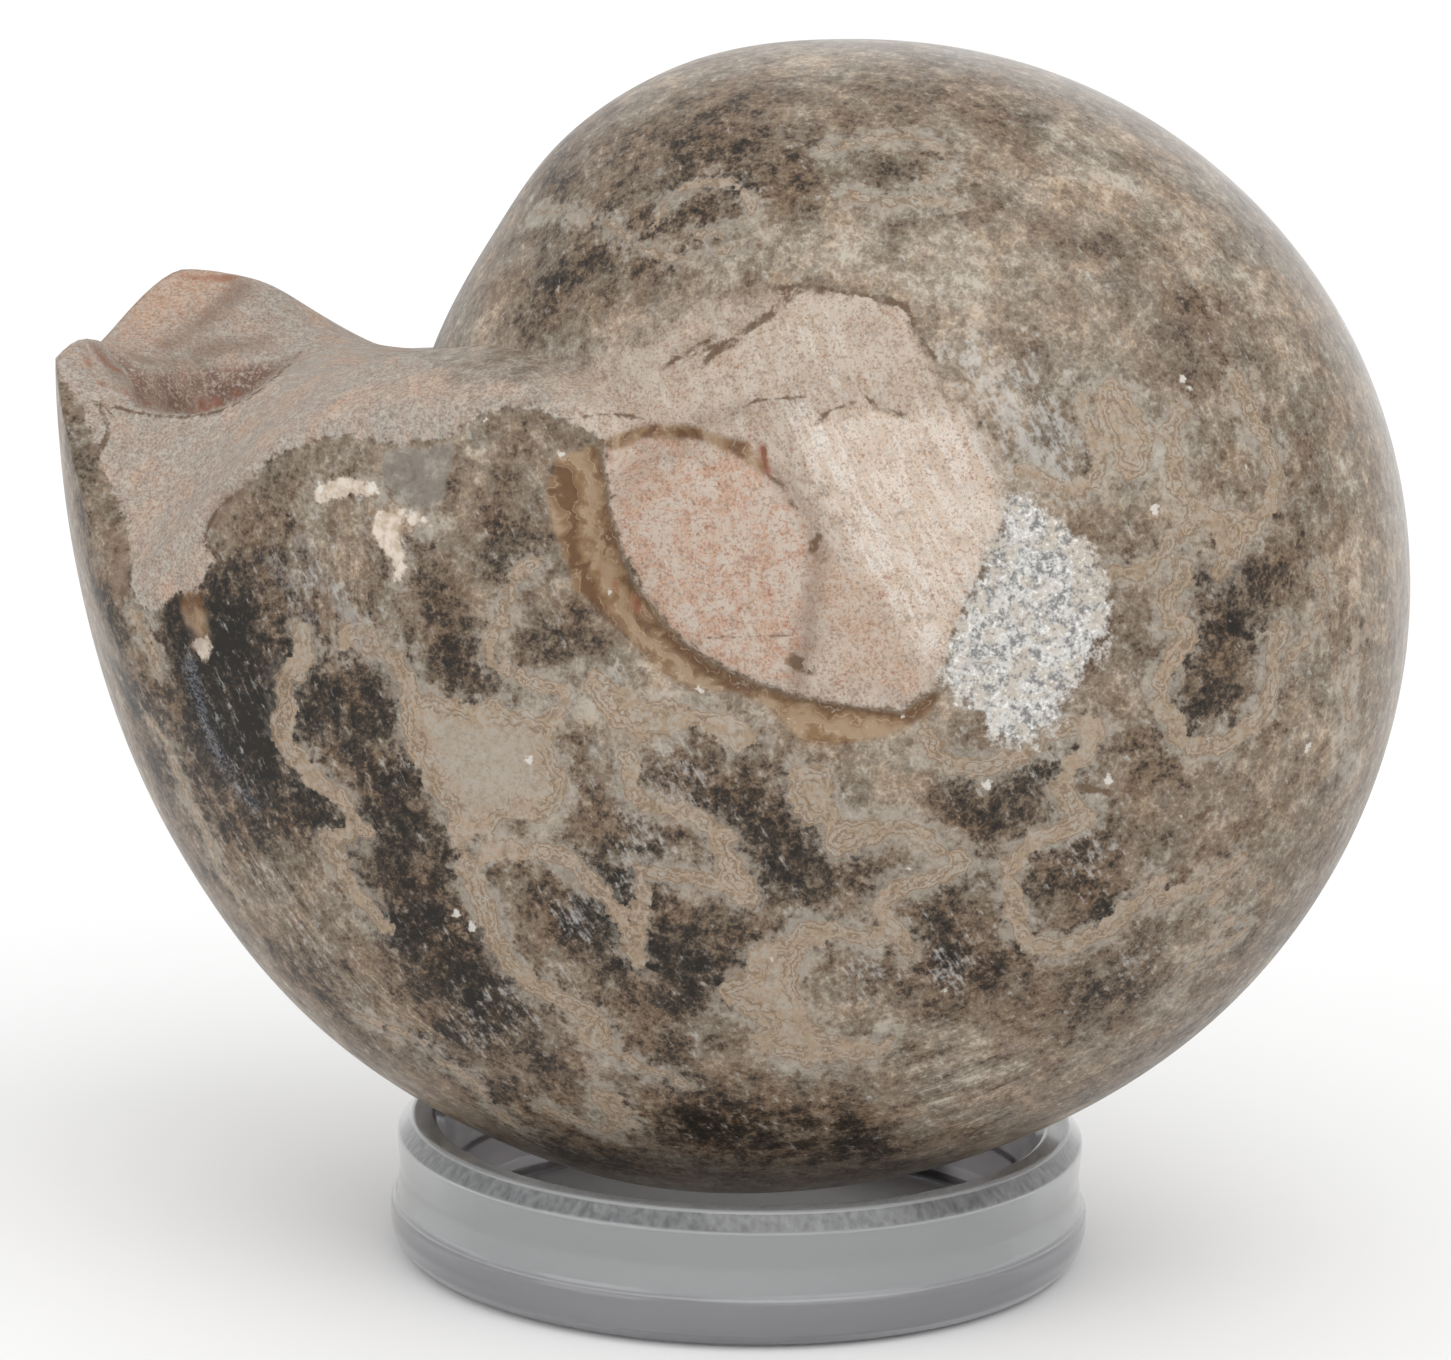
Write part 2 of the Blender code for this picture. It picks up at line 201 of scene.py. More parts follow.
# Tone of the stone: pixel, size in mm, and how much lighter (tan) or darker (brown) it is. Besides the
# stone's own mottling, the spots along the lower right rim are painted shade, the ones over the upper right
# and its rim painted light, and some make it darker towards the bottom.
TONES_AND_PAINTED_LIGHT = (
    (250, 560, 3.4, -0.8), (230, 620, 4.2, -1.0), (200, 690, 3.6, -1.0), (252, 690, 4.0, -1.1),
    (250, 760, 4.0, -1.1), (295, 825, 3.2, -0.8), (345, 720, 3.8, -0.6), (380, 680, 2.6, -0.5),
    (395, 780, 3.8, -0.75), (400, 850, 4.0, -0.9), (412, 920, 4.0, -0.85), (440, 980, 4.0, -0.75),
    (510, 1030, 4.0, -0.6), (560, 900, 3.2, -0.6), (600, 950, 3.0, -0.5), (680, 930, 4.0, -0.6),
    (625, 825, 3.0, -0.55), (700, 980, 3.4, -0.6), (650, 1010, 4.0, -0.5), (560, 1075, 3.0, -0.5),
    (690, 1120, 4.6, -0.9), (560, 1150, 4.0, -0.8), (790, 1120, 4.6, -0.8), (860, 1140, 4.0, -0.6),
    (680, 780, 2.2, -0.7), (740, 790, 3.2, -0.8), (770, 830, 3.2, -0.9), (800, 880, 3.4, -0.8),
    (860, 990, 3.2, -0.3), (950, 920, 3.4, -0.85), (950, 980, 3.6, -0.8), (1000, 970, 2.8, -0.6),
    (970, 810, 3.0, -0.8), (1030, 785, 2.6, -0.7), (870, 880, 2.6, -0.6), (720, 940, 2.8, -0.4),
    (1065, 875, 3.2, -0.65), (1100, 900, 2.6, -0.4), (1120, 985, 4.0, -0.55), (1060, 1010, 3.4, -0.4),
    (1150, 800, 4.4, -0.35), (1240, 830, 4.0, -0.3), (1215, 670, 3.0, -0.75), (1215, 715, 2.2, -0.6),
    (1240, 600, 3.6, -0.75), (1290, 565, 3.0, -0.65), (1215, 575, 2.4, -0.5), (1225, 470, 3.0, -0.35),
    (1110, 630, 2.6, -0.35), (1120, 540, 3.0, -0.45), (1050, 440, 2.4, -0.5), (1170, 360, 3.4, -0.45),
    (1110, 260, 3.0, -0.7), (1210, 330, 3.6, -0.5), (1310, 430, 3.6, -0.35), (1040, 340, 2.6, -0.35),
    (600, 265, 3.4, -0.75), (545, 270, 3.0, -0.6), (540, 310, 2.6, -0.5), (660, 270, 2.0, -0.6),
    (650, 165, 4.4, -0.55), (730, 120, 4.4, -0.6), (790, 180, 3.6, -0.55), (560, 190, 2.4, -0.5),
    (700, 215, 2.0, -0.5), (900, 95, 4.0, -0.4), (1010, 110, 3.4, -0.4), (1000, 215, 2.6, -0.5),
    (885, 175, 2.4, -0.3), (885, 232, 2.0, -0.35), (515, 430, 3.2, -0.25), (510, 500, 2.6, -0.60),
    (500, 545, 2.4, -0.6), (440, 620, 3.4, -0.85), (470, 670, 2.6, -0.8), (420, 560, 2.0, -0.6),
    (560, 640, 3.0, -0.65), (590, 625, 2.0, -0.6), (620, 680, 1.6, -0.5), (580, 745, 1.6, -0.5),
    (330, 455, 2.6, -0.25), (290, 480, 2.4, -0.20), (270, 520, 2.4, -0.15), (470, 950, 2.4, -0.5),
    (640, 700, 3.0, 0.35), (880, 780, 3.0, 0.25), (980, 250, 5.0, 0.45), (850, 250, 3.6, 0.45),
    (760, 240, 3.0, 0.4), (830, 60, 3.4, 0.4), (1090, 170, 4.0, 0.3), (1180, 230, 4.4, 0.3),
    (620, 330, 3.6, 0.35), (480, 330, 3.0, 0.45), (700, 280, 2.6, 0.4), (1000, 380, 3.0, 0.35),
    (1340, 560, 3.0, 0.25), (1340, 740, 3.6, 0.35), (1300, 700, 2.6, -0.1), (600, 690, 2.6, 0.45),
    (500, 640, 2.0, 0.3), (480, 590, 2.0, 0.25), (330, 590, 2.4, -0.15), (345, 650, 1.6, 0.05),
    (860, 1010, 2.0, 0.25), (960, 1060, 3.0, 0.45), (270, 870, 3.2, 0.20), (320, 920, 3.0, 0.20),
    (250, 900, 2.4, 0.05), (200, 800, 2.0, 0.1), (385, 1020, 2.6, 0.20), (150, 640, 2.4, 0.4),
    (600, 1110, 2.0, 0.3), (1180, 950, 2.6, 0.1), (930, 790, 2.0, 0.2),
    (495, 1090, 3.0, -0.45), (620, 1165, 3.6, -0.55), (740, 1172, 4.4, -0.6), (880, 1162, 4.0, -0.55),
    (985, 1138, 3.0, -0.35),
    (170, 640, 3.4, -0.7), (190, 750, 3.4, -0.8), (225, 825, 3.0, -0.6), (150, 570, 2.4, -0.3),
    (300, 660, 2.6, -0.5), (320, 720, 2.4, -0.4), (250, 850, 2.6, -0.3), (290, 960, 3.2, -0.5),
    (360, 1040, 3.2, -0.5), (430, 1060, 3.2, -0.5), (480, 1010, 2.6, -0.4), (520, 1090, 3.0, -0.4),
    # Darker along the lower right rim, through (1050, 1115): painted shade.
    (1330, 860, 3.4, -0.35), (1270, 950, 3.6, -0.45), (1190, 1030, 3.6, -0.45), (1110, 1085, 3.2, -0.45),
    (1050, 1115, 2.8, -0.35), (520, 190, 3.0, -0.5), (570, 140, 3.4, -0.5), (470, 270, 3.0, -0.5),
    (440, 330, 2.6, -0.5), (690, 200, 2.6, -0.35), (700, 262, 2.4, -0.35), (620, 900, 3.0, -0.3),
    # These three rows lighten mostly the upper right and its rim: painted light.
    (1120, 180, 5.0, 0.20), (1260, 300, 4.6, 0.30), (1340, 420, 4.2, 0.35), (1230, 420, 4.0, 0.20),
    (1080, 320, 4.0, 0.20), (1180, 520, 3.0, 0.20), (1030, 480, 2.6, 0.55), (960, 705, 2.0, 0.40),
    (1385, 560, 3.4, 0.10),
    (72, 450, 2.4, -0.5), (84, 520, 2.4, -0.5), (100, 600, 2.8, -0.6), (125, 680, 3.0, -0.6),
    (150, 760, 3.0, -0.5), (190, 860, 3.0, -0.5), (240, 940, 3.0, -0.5), (300, 1010, 3.0, -0.4),
    (380, 700, 2.4, -0.3), (340, 860, 2.6, -0.35), (310, 800, 2.4, -0.35), (480, 960, 2.4, -0.25),
    (520, 1000, 2.6, -0.3), (600, 880, 2.4, -0.3), (640, 920, 2.4, -0.25), (550, 760, 1.8, -0.2),
    # The first four darken the right rim low down: painted shade.
    (1390, 700, 2.8, -0.25), (1370, 800, 2.8, -0.3), (1300, 920, 2.6, -0.3), (1220, 1010, 2.6, -0.3),
    (480, 230, 2.6, -0.4), (610, 100, 3.0, -0.35), (430, 345, 2.0, -0.4), (660, 300, 2.2, -0.2),
    (1140, 340, 3.6, 0.25), (1100, 400, 2.8, 0.25), (1160, 470, 2.6, 0.20), (1250, 540, 2.4, 0.25),
    (1100, 270, 2.6, 0.30), (1080, 120, 3.6, 0.20), (1180, 800, 3.4, 0.20), (1200, 900, 3.0, 0.15),
    (960, 980, 2.4, 0.25), (1000, 400, 2.0, 0.25), (330, 500, 2.4, 0.20), (240, 540, 2.0, 0.20),
    (108, 620, 2.6, -0.5), (140, 700, 2.8, -0.6), (170, 785, 2.8, -0.6), (215, 870, 2.6, -0.4),
    (290, 905, 2.6, -0.25), (255, 835, 2.4, -0.2), (60, 400, 2.0, -0.3), (340, 985, 2.6, -0.2),
    (760, 825, 2.4, 0.15), (950, 925, 2.4, 0.15), (1065, 880, 2.4, 0.15),
    (245, 690, 2.6, -0.5), (215, 640, 2.4, -0.4), (260, 745, 2.4, -0.4), (300, 610, 1.8, -0.3),
    (560, 820, 2.2, -0.2), (640, 860, 2.2, -0.2), (450, 870, 2.0, -0.2), (530, 940, 2.2, -0.25),
    (600, 1030, 2.4, -0.2), (680, 1050, 2.4, -0.2), (870, 850, 2.0, -0.2), (1150, 740, 2.4, -0.2),
    # Darker along the lower right rim, through (1100, 1108): painted shade.
    (1350, 880, 2.4, -0.3), (1310, 935, 2.4, -0.3), (1245, 1005, 2.4, -0.3), (1170, 1062, 2.4, -0.3),
    (1100, 1108, 2.2, -0.3), (560, 170, 2.4, -0.3), (600, 130, 2.4, -0.2), (520, 235, 2.4, -0.3),
    (1040, 490, 2.2, 0.25), (1180, 360, 2.6, 0.15), (1290, 380, 2.8, 0.15), (1230, 500, 2.4, 0.2),
    (985, 950, 2.0, 0.2), (510, 395, 2.0, 0.25), (1360, 480, 2.6, 0.15), (930, 300, 2.2, 0.2),
    (880, 130, 2.6, 0.2), (800, 870, 2.0, 0.2),
)

# Rock that fills the mouth, the seam and the navel, as one closed outline on the near side.
ROCK = ((410, 350), (450, 358), (520, 362), (580, 346), (640, 318), (690, 300), (730, 290), (790, 286),
        (850, 294), (900, 303), (920, 335), (950, 380), (985, 415), (1008, 450), (1012, 490),
        (1003, 530), (970, 595), (945, 665), (932, 692), (900, 712), (850, 706), (800, 697),
        (750, 681), (700, 655), (665, 625), (640, 590), (622, 552), (612, 515), (606, 480), (603, 440),
        (575, 425), (545, 412), (510, 408), (480, 414), (455, 435), (430, 441), (400, 447), (372, 440),
        (340, 436), (310, 442), (280, 454), (255, 478), (232, 495), (215, 515), (203, 540), (212, 552),
        (218, 562), (205, 580), (195, 598), (185, 600), (178, 594), (150, 612), (135, 600), (129, 575),
        (130, 540), (112, 490), (96, 450), (80, 405), (60, 380), (40, 345), (60, 320), (110, 250),
        (200, 230), (330, 270), (400, 320))
PINK_FACET = ((605, 445), (640, 428), (690, 430), (740, 448), (765, 470), (795, 505), (822, 545),
              (815, 600), (808, 640), (800, 682), (750, 681), (700, 655), (665, 625), (640, 590),
              (622, 552), (612, 515), (606, 480))
CREAM_FACET = ((800, 420), (850, 408), (900, 415), (960, 410), (985, 430), (1008, 460), (1010, 500),
               (970, 595), (945, 665), (925, 660), (905, 640), (885, 600), (850, 560), (835, 520),
               (808, 470))
CRYSTALS = ((1010, 488), (1040, 508), (1062, 528), (1088, 556), (1101, 590), (1107, 622), (1100, 652),
            (1092, 668), (1072, 684), (1060, 702), (1056, 722), (1040, 736), (1015, 742), (992, 738),
            (975, 715), (955, 692), (942, 672), (955, 640), (968, 600), (990, 560), (1004, 520))
AMBER_BANK = ((556, 456), (600, 440), (606, 480), (612, 515), (622, 552), (640, 590), (665, 625),
              (700, 655), (750, 681), (800, 697), (850, 706), (900, 712), (932, 692), (938, 676),
              (940, 700), (928, 718), (905, 730), (880, 738), (840, 747), (800, 742), (775, 714),
              (760, 701), (720, 692), (690, 692), (655, 668), (625, 640), (600, 612), (575, 590),
              (564, 560), (550, 530), (545, 490))
HOLLOW = ((104, 346), (122, 352), (140, 366), (165, 371), (200, 366), (245, 362), (295, 356),
          (266, 386), (240, 403), (215, 412), (190, 416), (160, 415), (132, 408), (128, 385))
HUMP = ((100, 345), (110, 250), (215, 240), (262, 262), (228, 305), (195, 332), (160, 352), (130, 356))
GREY_SHELF = ((380, 450), (430, 446), (455, 440), (452, 470), (448, 500), (425, 512), (400, 500),
              (382, 480))

# Cracks and dark seams, and a thin painted shadow along the edge of the mouth's hollow: half width in mm,
# then a run of pixels.
CRACKS_AND_SHADOW_LINE = (
    (0.38, ((782, 291), (800, 289), (826, 290))),
    (0.20, ((826, 290), (850, 293), (880, 299), (900, 304), (911, 316), (917, 330), (932, 354))),
    (0.30, ((784, 302), (770, 315), (750, 328), (735, 340), (716, 350), (702, 364))),
    (0.16, ((706, 342), (692, 350), (672, 362))),
    (0.10, ((822, 418), (832, 410), (847, 405))),
    (0.12, ((872, 402), (880, 408), (898, 414))),
    (0.07, ((735, 412), (757, 401), (796, 398))),
    (0.14, ((764, 455), (767, 473), (776, 481))),
    (0.28, ((796, 506), (808, 518), (820, 532), (814, 546))),
    (0.09, ((712, 638), (745, 637), (782, 636))),
    (0.55, ((795, 662), (808, 668))),
    # Painted shadow along the edge of the mouth's hollow.
    (0.08, ((98, 402), (130, 411), (160, 416), (190, 416), (215, 412), (240, 402), (266, 385), (296, 357))),
    (0.10, ((590, 416), (612, 414), (634, 417))),
    (0.09, ((206, 536), (216, 512), (236, 494))),
    (0.16, ((100, 408), (108, 430), (100, 452))),
    (0.30, ((1085, 788), (1102, 792))),
    (0.22, ((1202, 815), (1207, 812))),
)

# Rusty red marks: half width in mm, then a run of pixels.
RUST_MARKS = (
    (0.20, ((86, 356), (92, 372), (104, 386), (124, 392), (134, 400), (150, 403))),
    (0.16, ((96, 352), (110, 366), (130, 376), (140, 384))),
    (0.35, ((196, 410), (216, 404), (238, 394))),
    (0.28, ((596, 566), (612, 582), (630, 596), (636, 608))),
    (0.22, ((763, 452), (768, 474))),
    (0.14, ((746, 558), (750, 562))),
    (0.30, ((180, 275), (210, 278), (238, 276))),
)

# Small white flecks and chips, and painted glints at (700, 690), (789, 722) and (904, 717): pixel and
# radius in mm.
FLECKS_AND_GLINTS = (
    (560, 455, 0.15), (457, 915, 0.27), (472, 927, 0.34), (700, 690, 0.24), (789, 722, 0.15),
    (904, 717, 0.12), (1108, 778, 0.33), (1154, 506, 0.34), (1184, 378, 0.20), (1190, 388, 0.17),
    (1307, 747, 0.31), (988, 785, 0.24), (610, 592, 0.11), (424, 519, 0.29), (320, 490, 0.27),
    (373, 488, 0.22), (530, 760, 0.27), (1182, 816, 0.15), (1086, 837, 0.14), (485, 420, 0.10),
    (772, 960, 0.11), (1255, 801, 0.10), (1247, 468, 0.11), (945, 990, 0.11), (908, 868, 0.08),
)

# Whitish dusting on the shell: pixel, size in mm and amount.
DUSTINGS = (
    (1005, 395, 3.0, 0.75), (1045, 450, 2.6, 0.70), (960, 345, 2.4, 0.45), (1075, 500, 2.0, 0.40),
    (330, 590, 2.6, 0.28), (300, 560, 2.4, 0.32), (370, 640, 2.0, 0.25), (225, 715, 1.8, 0.28),
    (245, 770, 1.8, 0.25), (575, 915, 1.8, 0.55), (950, 968, 2.0, 0.55), (655, 770, 2.0, 0.45),
    (1080, 850, 2.0, 0.40), (630, 880, 1.8, 0.45), (1210, 745, 2.2, 0.40), (470, 1035, 2.4, 0.45),
    (310, 935, 2.4, 0.35), (260, 870, 2.2, 0.30), (560, 780, 2.2, 0.45), (640, 830, 2.0, 0.50),
    (865, 975, 2.0, 0.40), (1140, 960, 2.4, 0.35), (510, 1000, 2.0, 0.40), (395, 770, 1.2, 0.35),
    (940, 180, 2.6, 0.30), (1100, 640, 2.0, 0.45), (1040, 770, 1.8, 0.40), (700, 780, 2.0, 0.35),
)

# Lighter rock of the plug: pixel, size in mm and amount.
PLUG_ROCK = ((800, 400, 13.0, 1.0), (800, 560, 12.0, 1.0), (930, 500, 10.0, 0.6), (640, 400, 7.0, 0.3))

# Orange-beige rock: pixel, size in mm and amount.
WARM_SPOTS = (
    (845, 600, 2.8, 1.0), (870, 655, 2.6, 1.0), (825, 555, 1.6, 0.6), (905, 680, 1.8, 0.8),
    (300, 392, 2.8, 0.7), (350, 402, 2.6, 0.8), (420, 388, 2.8, 0.6), (470, 392, 2.4, 0.5),
    (690, 330, 2.4, 0.5), (720, 530, 1.6, 0.5), (950, 620, 2.0, 0.5), (560, 385, 2.4, 0.4),
    (140, 315, 2.6, 0.9), (175, 290, 2.6, 1.0), (205, 278, 2.2, 0.8), (150, 340, 1.8, 0.6),
    (262, 392, 1.6, 0.6), (300, 345, 2.4, 0.4),
)

# Painted highlight along the ridge of the cream facet, streaked like scratches: pixel, size in mm and
# amount.
RIDGE_HIGHLIGHT_SPOTS = (
    (800, 405, 1.5, 0.8), (822, 440, 1.5, 0.9), (842, 480, 1.5, 1.0), (862, 522, 1.5, 1.0),
    (884, 562, 1.5, 1.0), (906, 600, 1.5, 0.9), (930, 640, 1.6, 0.8), (960, 665, 1.8, 0.6),
    (960, 430, 2.6, 0.3), (1000, 450, 1.8, 0.6), (800, 330, 2.2, 0.5), (840, 352, 2.4, 0.5),
    (770, 372, 1.8, 0.4),
)

# Cream flakes beside the mouth, closed outlines in pixels.
FLAKES = (
    ((372, 512), (392, 507), (403, 516), (401, 530), (406, 560), (402, 582), (395, 583), (392, 560),
     (379, 548), (373, 530)),
    ((312, 492), (328, 480), (352, 476), (378, 486), (377, 500), (352, 494), (332, 500), (316, 503)),
    ((404, 508), (424, 514), (432, 524), (420, 530), (406, 522)),
    ((190, 632), (200, 640), (212, 636), (211, 652), (207, 669), (199, 656)),
)

# Small tongue of resin beside the mouth.
TONGUE = ((176, 596), (186, 588), (200, 590), (207, 610), (212, 638), (200, 642), (188, 626), (180, 612))

# Bluish streaks in the dark shell, the first a painted reflection: half width in mm, then a run of pixels.
BLUISH = (
    # A painted reflection down the dark shell.
    (0.55, ((190, 668), (198, 700), (208, 730), (222, 762), (240, 790), (256, 808))),
    (0.35, ((300, 545), (318, 575), (345, 610), (368, 640))),
    (0.30, ((272, 560), (292, 590), (312, 618))),
)

# Translucent brown rim over the pink facet.
AMBER_RIM = ((600, 442), (640, 424), (690, 423), (744, 441), (770, 468), (764, 480), (738, 457),
             (690, 441), (645, 441), (606, 454))

# Soft brown shading: half width in mm, then a run of pixels.
SHADES = (
    (0.55, ((168, 345), (188, 332), (208, 318), (228, 300), (246, 286))),
    (0.35, ((112, 536), (122, 556), (118, 585))),
    (0.40, ((187, 605), (193, 622), (197, 640))),
    (0.35, ((774, 472), (800, 506), (818, 545), (812, 600), (806, 650), (800, 680))),
    (0.45, ((196, 352), (226, 346), (262, 342))),
    (0.30, ((214, 520), (228, 500), (250, 480))),
    (0.35, ((100, 350), (112, 368), (126, 388), (150, 398), (184, 408), (214, 406))),
    (0.30, ((232, 400), (256, 384), (280, 366), (294, 356))),
    (0.30, ((130, 356), (160, 364), (196, 362))),
)

# Where the rock's edge fades into the shell instead of ending, closed outlines in pixels.
ROCK_FADES = (
    ((440, 290), (560, 300), (640, 280), (700, 270), (760, 262), (770, 300), (740, 330), (700, 356),
     (650, 385), (560, 396), (440, 385)),
    ((930, 320), (975, 340), (1020, 400), (1040, 470), (1000, 490), (975, 450), (940, 400)),
)

# Fine relief in mm: how deep the amber bank, the cracks, the valley between the facets and the
# mouth's hollow lie under the solid's surface, and how far each one reaches.
BANK_DEPTH = 0.6
BANK_REACH = 1.3
BANK_EDGE = (-0.1, 0.4)
CRACK_DEPTH = 0.45
CRACK_REACH = 0.45
DEEP_CRACKS = CRACKS_AND_SHADOW_LINE[:6]
FACET_VALLEY = ((766, 455), (800, 500), (824, 545), (815, 600), (806, 650), (798, 684))
VALLEY_DEPTH = 0.45
VALLEY_REACH = 1.4
HOLLOW_DEPTH = 2.0
HOLLOW_REACH = 1.6

# Marks on the surface: how far in mm one reaches at most, the points in each step of a run, how
# close a seen point lies to its ray, the range of the tone, and the rock of the hidden mouth.
CLEAR_OF_MARK = 9.0
RUN_STEPS = 7
SHORTEST_STEP = 1e-12
SEEN_GAP = 0.3 * MM
TONE_RANGE = (-1.6, 1.4)
HIDDEN_ROCK = 2.0

SHADER_MM = 1.0 / MM
NOISE_MIDDLE = 0.5


def view_axes():
    """Right, up and back of the photograph's camera."""
    azimuth, elevation, roll = (math.radians(a) for a in (VIEW_AZIMUTH, VIEW_ELEVATION, VIEW_ROLL))
    back = Vector((math.sin(azimuth) * math.cos(elevation), -math.cos(azimuth) * math.cos(elevation),
                   math.sin(elevation)))
    level = Vector((math.cos(azimuth), math.sin(azimuth), 0.0))
    rise = back.cross(level)
    right = level * math.cos(roll) + rise * math.sin(roll)
    return right, back.cross(right), back


def view_place():
    """Place of the photograph's camera, so that the coil's centre lands on its pixel."""
    right, up, back = view_axes()
    aside = (COIL_PIXEL[0] - PHOTO_WIDTH / 2) / PIXELS_PER_MM * MM
    below = (COIL_PIXEL[1] - PHOTO_HEIGHT / 2) / PIXELS_PER_MM * MM
    return COIL - right * aside + up * below + back * VIEW_DISTANCE


def add_camera():
    """The photograph's camera."""
    right, up, back = view_axes()
    data = bpy.data.cameras.new("photo_view")
    data.sensor_width = SENSOR_WIDTH
    data.lens = PIXELS_PER_MM * VIEW_DISTANCE / MM / PHOTO_WIDTH * SENSOR_WIDTH
    data.clip_start, data.clip_end = CLIP_RANGE
    camera = bpy.data.objects.new("photo_view", data)
    bpy.context.scene.collection.objects.link(camera)
    turn = Matrix((right, up, back)).transposed().to_4x4()
    camera.matrix_world = Matrix.Translation(view_place()) @ turn
    bpy.context.scene.camera = camera


def pixel_ray(pixel):
    """Start and direction of the ray through a pixel of the photograph."""
    right, up, back = view_axes()
    focal = PIXELS_PER_MM * VIEW_DISTANCE / MM
    aside = (pixel[0] - PHOTO_WIDTH / 2) / focal
    below = (pixel[1] - PHOTO_HEIGHT / 2) / focal
    return view_place(), (right * aside - up * below - back).normalized()


def pixels_of(points):
    """Pixels of the photograph in which points of the row frame lie."""
    right, up, back = (np.array(axis) for axis in view_axes())
    offset = points - np.array(view_place())
    focal = PIXELS_PER_MM * VIEW_DISTANCE / MM
    depth = -offset @ back
    return np.stack((PHOTO_WIDTH / 2 + focal * (offset @ right) / depth,
                     PHOTO_HEIGHT / 2 - focal * (offset @ up) / depth), axis=1)


def smooth(value, start, end):
    """Rise from 0 to 1 between start and end with level ends."""
    share = np.clip((value - start) / (end - start), 0.0, 1.0)
    return share * share * (3.0 - 2.0 * share)


def curve(value, points):
    """Smooth curve through a few points, at each value."""
    xs, ys = np.array(points, dtype=float).T
    slopes = np.gradient(ys, xs)
    index = np.clip(np.searchsorted(xs, value) - 1, 0, len(xs) - 2)
    step = xs[index + 1] - xs[index]
    t = np.clip((value - xs[index]) / step, 0.0, 1.0)
    start = (2 * t ** 3 - 3 * t ** 2 + 1) * ys[index] + (t ** 3 - 2 * t ** 2 + t) * step * slopes[index]
    end = (3 * t ** 2 - 2 * t ** 3) * ys[index + 1] + (t ** 3 - t ** 2) * step * slopes[index + 1]
    return start + end


def section(growth, share):
    """Radius and half width of the whorl at a share of the way from navel to outer edge."""
    turn = share * np.pi / 2
    power = 2.0 / curve(growth, SQUARENESS)
    radius = curve(growth, VENTER) * np.sin(turn) ** power
    width = HALF_WIDTH * np.cos(turn) ** power
    width = width + curve(growth, SWELL) * np.sin(np.pi * share) ** 2
    return radius, width


def lip_relief(radius, across):
    """Height of the broken lip's lumps, hollow and chip over the plane of the mouth."""
    height = np.zeros_like(radius)
    for rise, at_radius, at_across, size_along, size_across in LIP_LUMPS:
        along = (radius - at_radius) / size_along
        aside = (across - at_across) / size_across
        height += rise * np.exp(-along ** 2 - aside ** 2)
    chip = np.exp(-((radius - CHIP_RADIUS) / CHIP_SIZE) ** 2) * smooth(across, *CHIP_WIDTHS)
    return height - CHIP_DEPTH * chip


def navel_relief(points):
    """How far the near navel's plug and the far navel's dish lie inside the flanks, along Y."""
    x, y, z = points.T
    reach = np.hypot((x - PLUG_CENTRE[0]) / PLUG_HALF[0], (z - PLUG_CENTRE[1]) / PLUG_HALF[1])
    aside = x - PLUG_RIDGE_X
    slope = np.where(aside < 0, -PLUG_LEFT_SLOPE * aside, PLUG_RIGHT_SLOPE * aside)
    slope += PLUG_LOW_SLOPE * np.maximum(-z, 0.0)
    plug = (1.0 - smooth(reach, *PLUG_EDGE)) * (PLUG_DEPTH + slope)
    dish = DISH_DEPTH * (1.0 - smooth(np.hypot(x, z), DISH_FLAT * DISH_RADIUS, DISH_RADIUS))
    return np.where(y < 0, plug, -dish)


def fossil_points(turn, row):
    """Points of the fossil about the coil's centre in mm, and how far each one is across the mouth."""
    near = row <= NEAR_ROWS
    flank = np.where(near, 1.0, -1.0)
    share = np.where(near, row / NEAR_ROWS, (NEAR_ROWS + FAR_ROWS - row) / FAR_ROWS)
    share = np.clip(share, 0.0, 1.0) ** ROW_SPACING
    mouth_span = MOUTH_COLUMNS * FULL_TURN / COLUMNS
    shell_span = FULL_TURN - mouth_span
    growth = np.minimum(turn / shell_span, 1.0) * SWEEP
    mouth = np.clip((turn - shell_span) / mouth_span, 0.0, 1.0)
    lip_radius, lip_width = section(growth, share)
    notch_radius, notch_width = section(np.zeros_like(share), share)
    radius = lip_radius + (notch_radius - lip_radius) * mouth
    width = lip_width + (notch_width - lip_width) * mouth
    across = width * flank
    joins = np.where(near, 1.0, 1.0 - smooth(radius, *FAR_SEAM_RADII))
    seam_turn = curve(radius, SEAM_TURN) * smooth(width, *SEAM_TURN_WIDTHS) * joins
    angle = np.radians(NOTCH_ANGLE - growth - (FULL_TURN - SWEEP) * mouth - seam_turn)
    points = np.stack((radius * np.cos(angle), -across, radius * np.sin(angle)), axis=1)
    lip_angle = np.radians(NOTCH_ANGLE - SWEEP)
    outwards = np.array((np.sin(lip_angle), 0.0, -np.cos(lip_angle)))
    blend = smooth(growth, LIP_BLEND_START, SWEEP) * smooth(1.0 - mouth, 0.0, NOTCH_BLEND)
    points += np.outer(lip_relief(radius, across) * blend, outwards)
    points[:, 1] += navel_relief(points)
    return points, mouth


def distance_to_run(points, run):
    """Distance of each point to a run of straight segments."""
    nearest = np.full(len(points), np.inf)
    for first, second in zip(run, run[1:]):
        along = second - first
        share = np.clip(((points - first) @ along) / max(along @ along, SHORTEST_STEP), 0.0, 1.0)
        gap = points - first - share[:, None] * along
        nearest = np.minimum(nearest, np.sqrt((gap ** 2).sum(axis=1)))
    return nearest


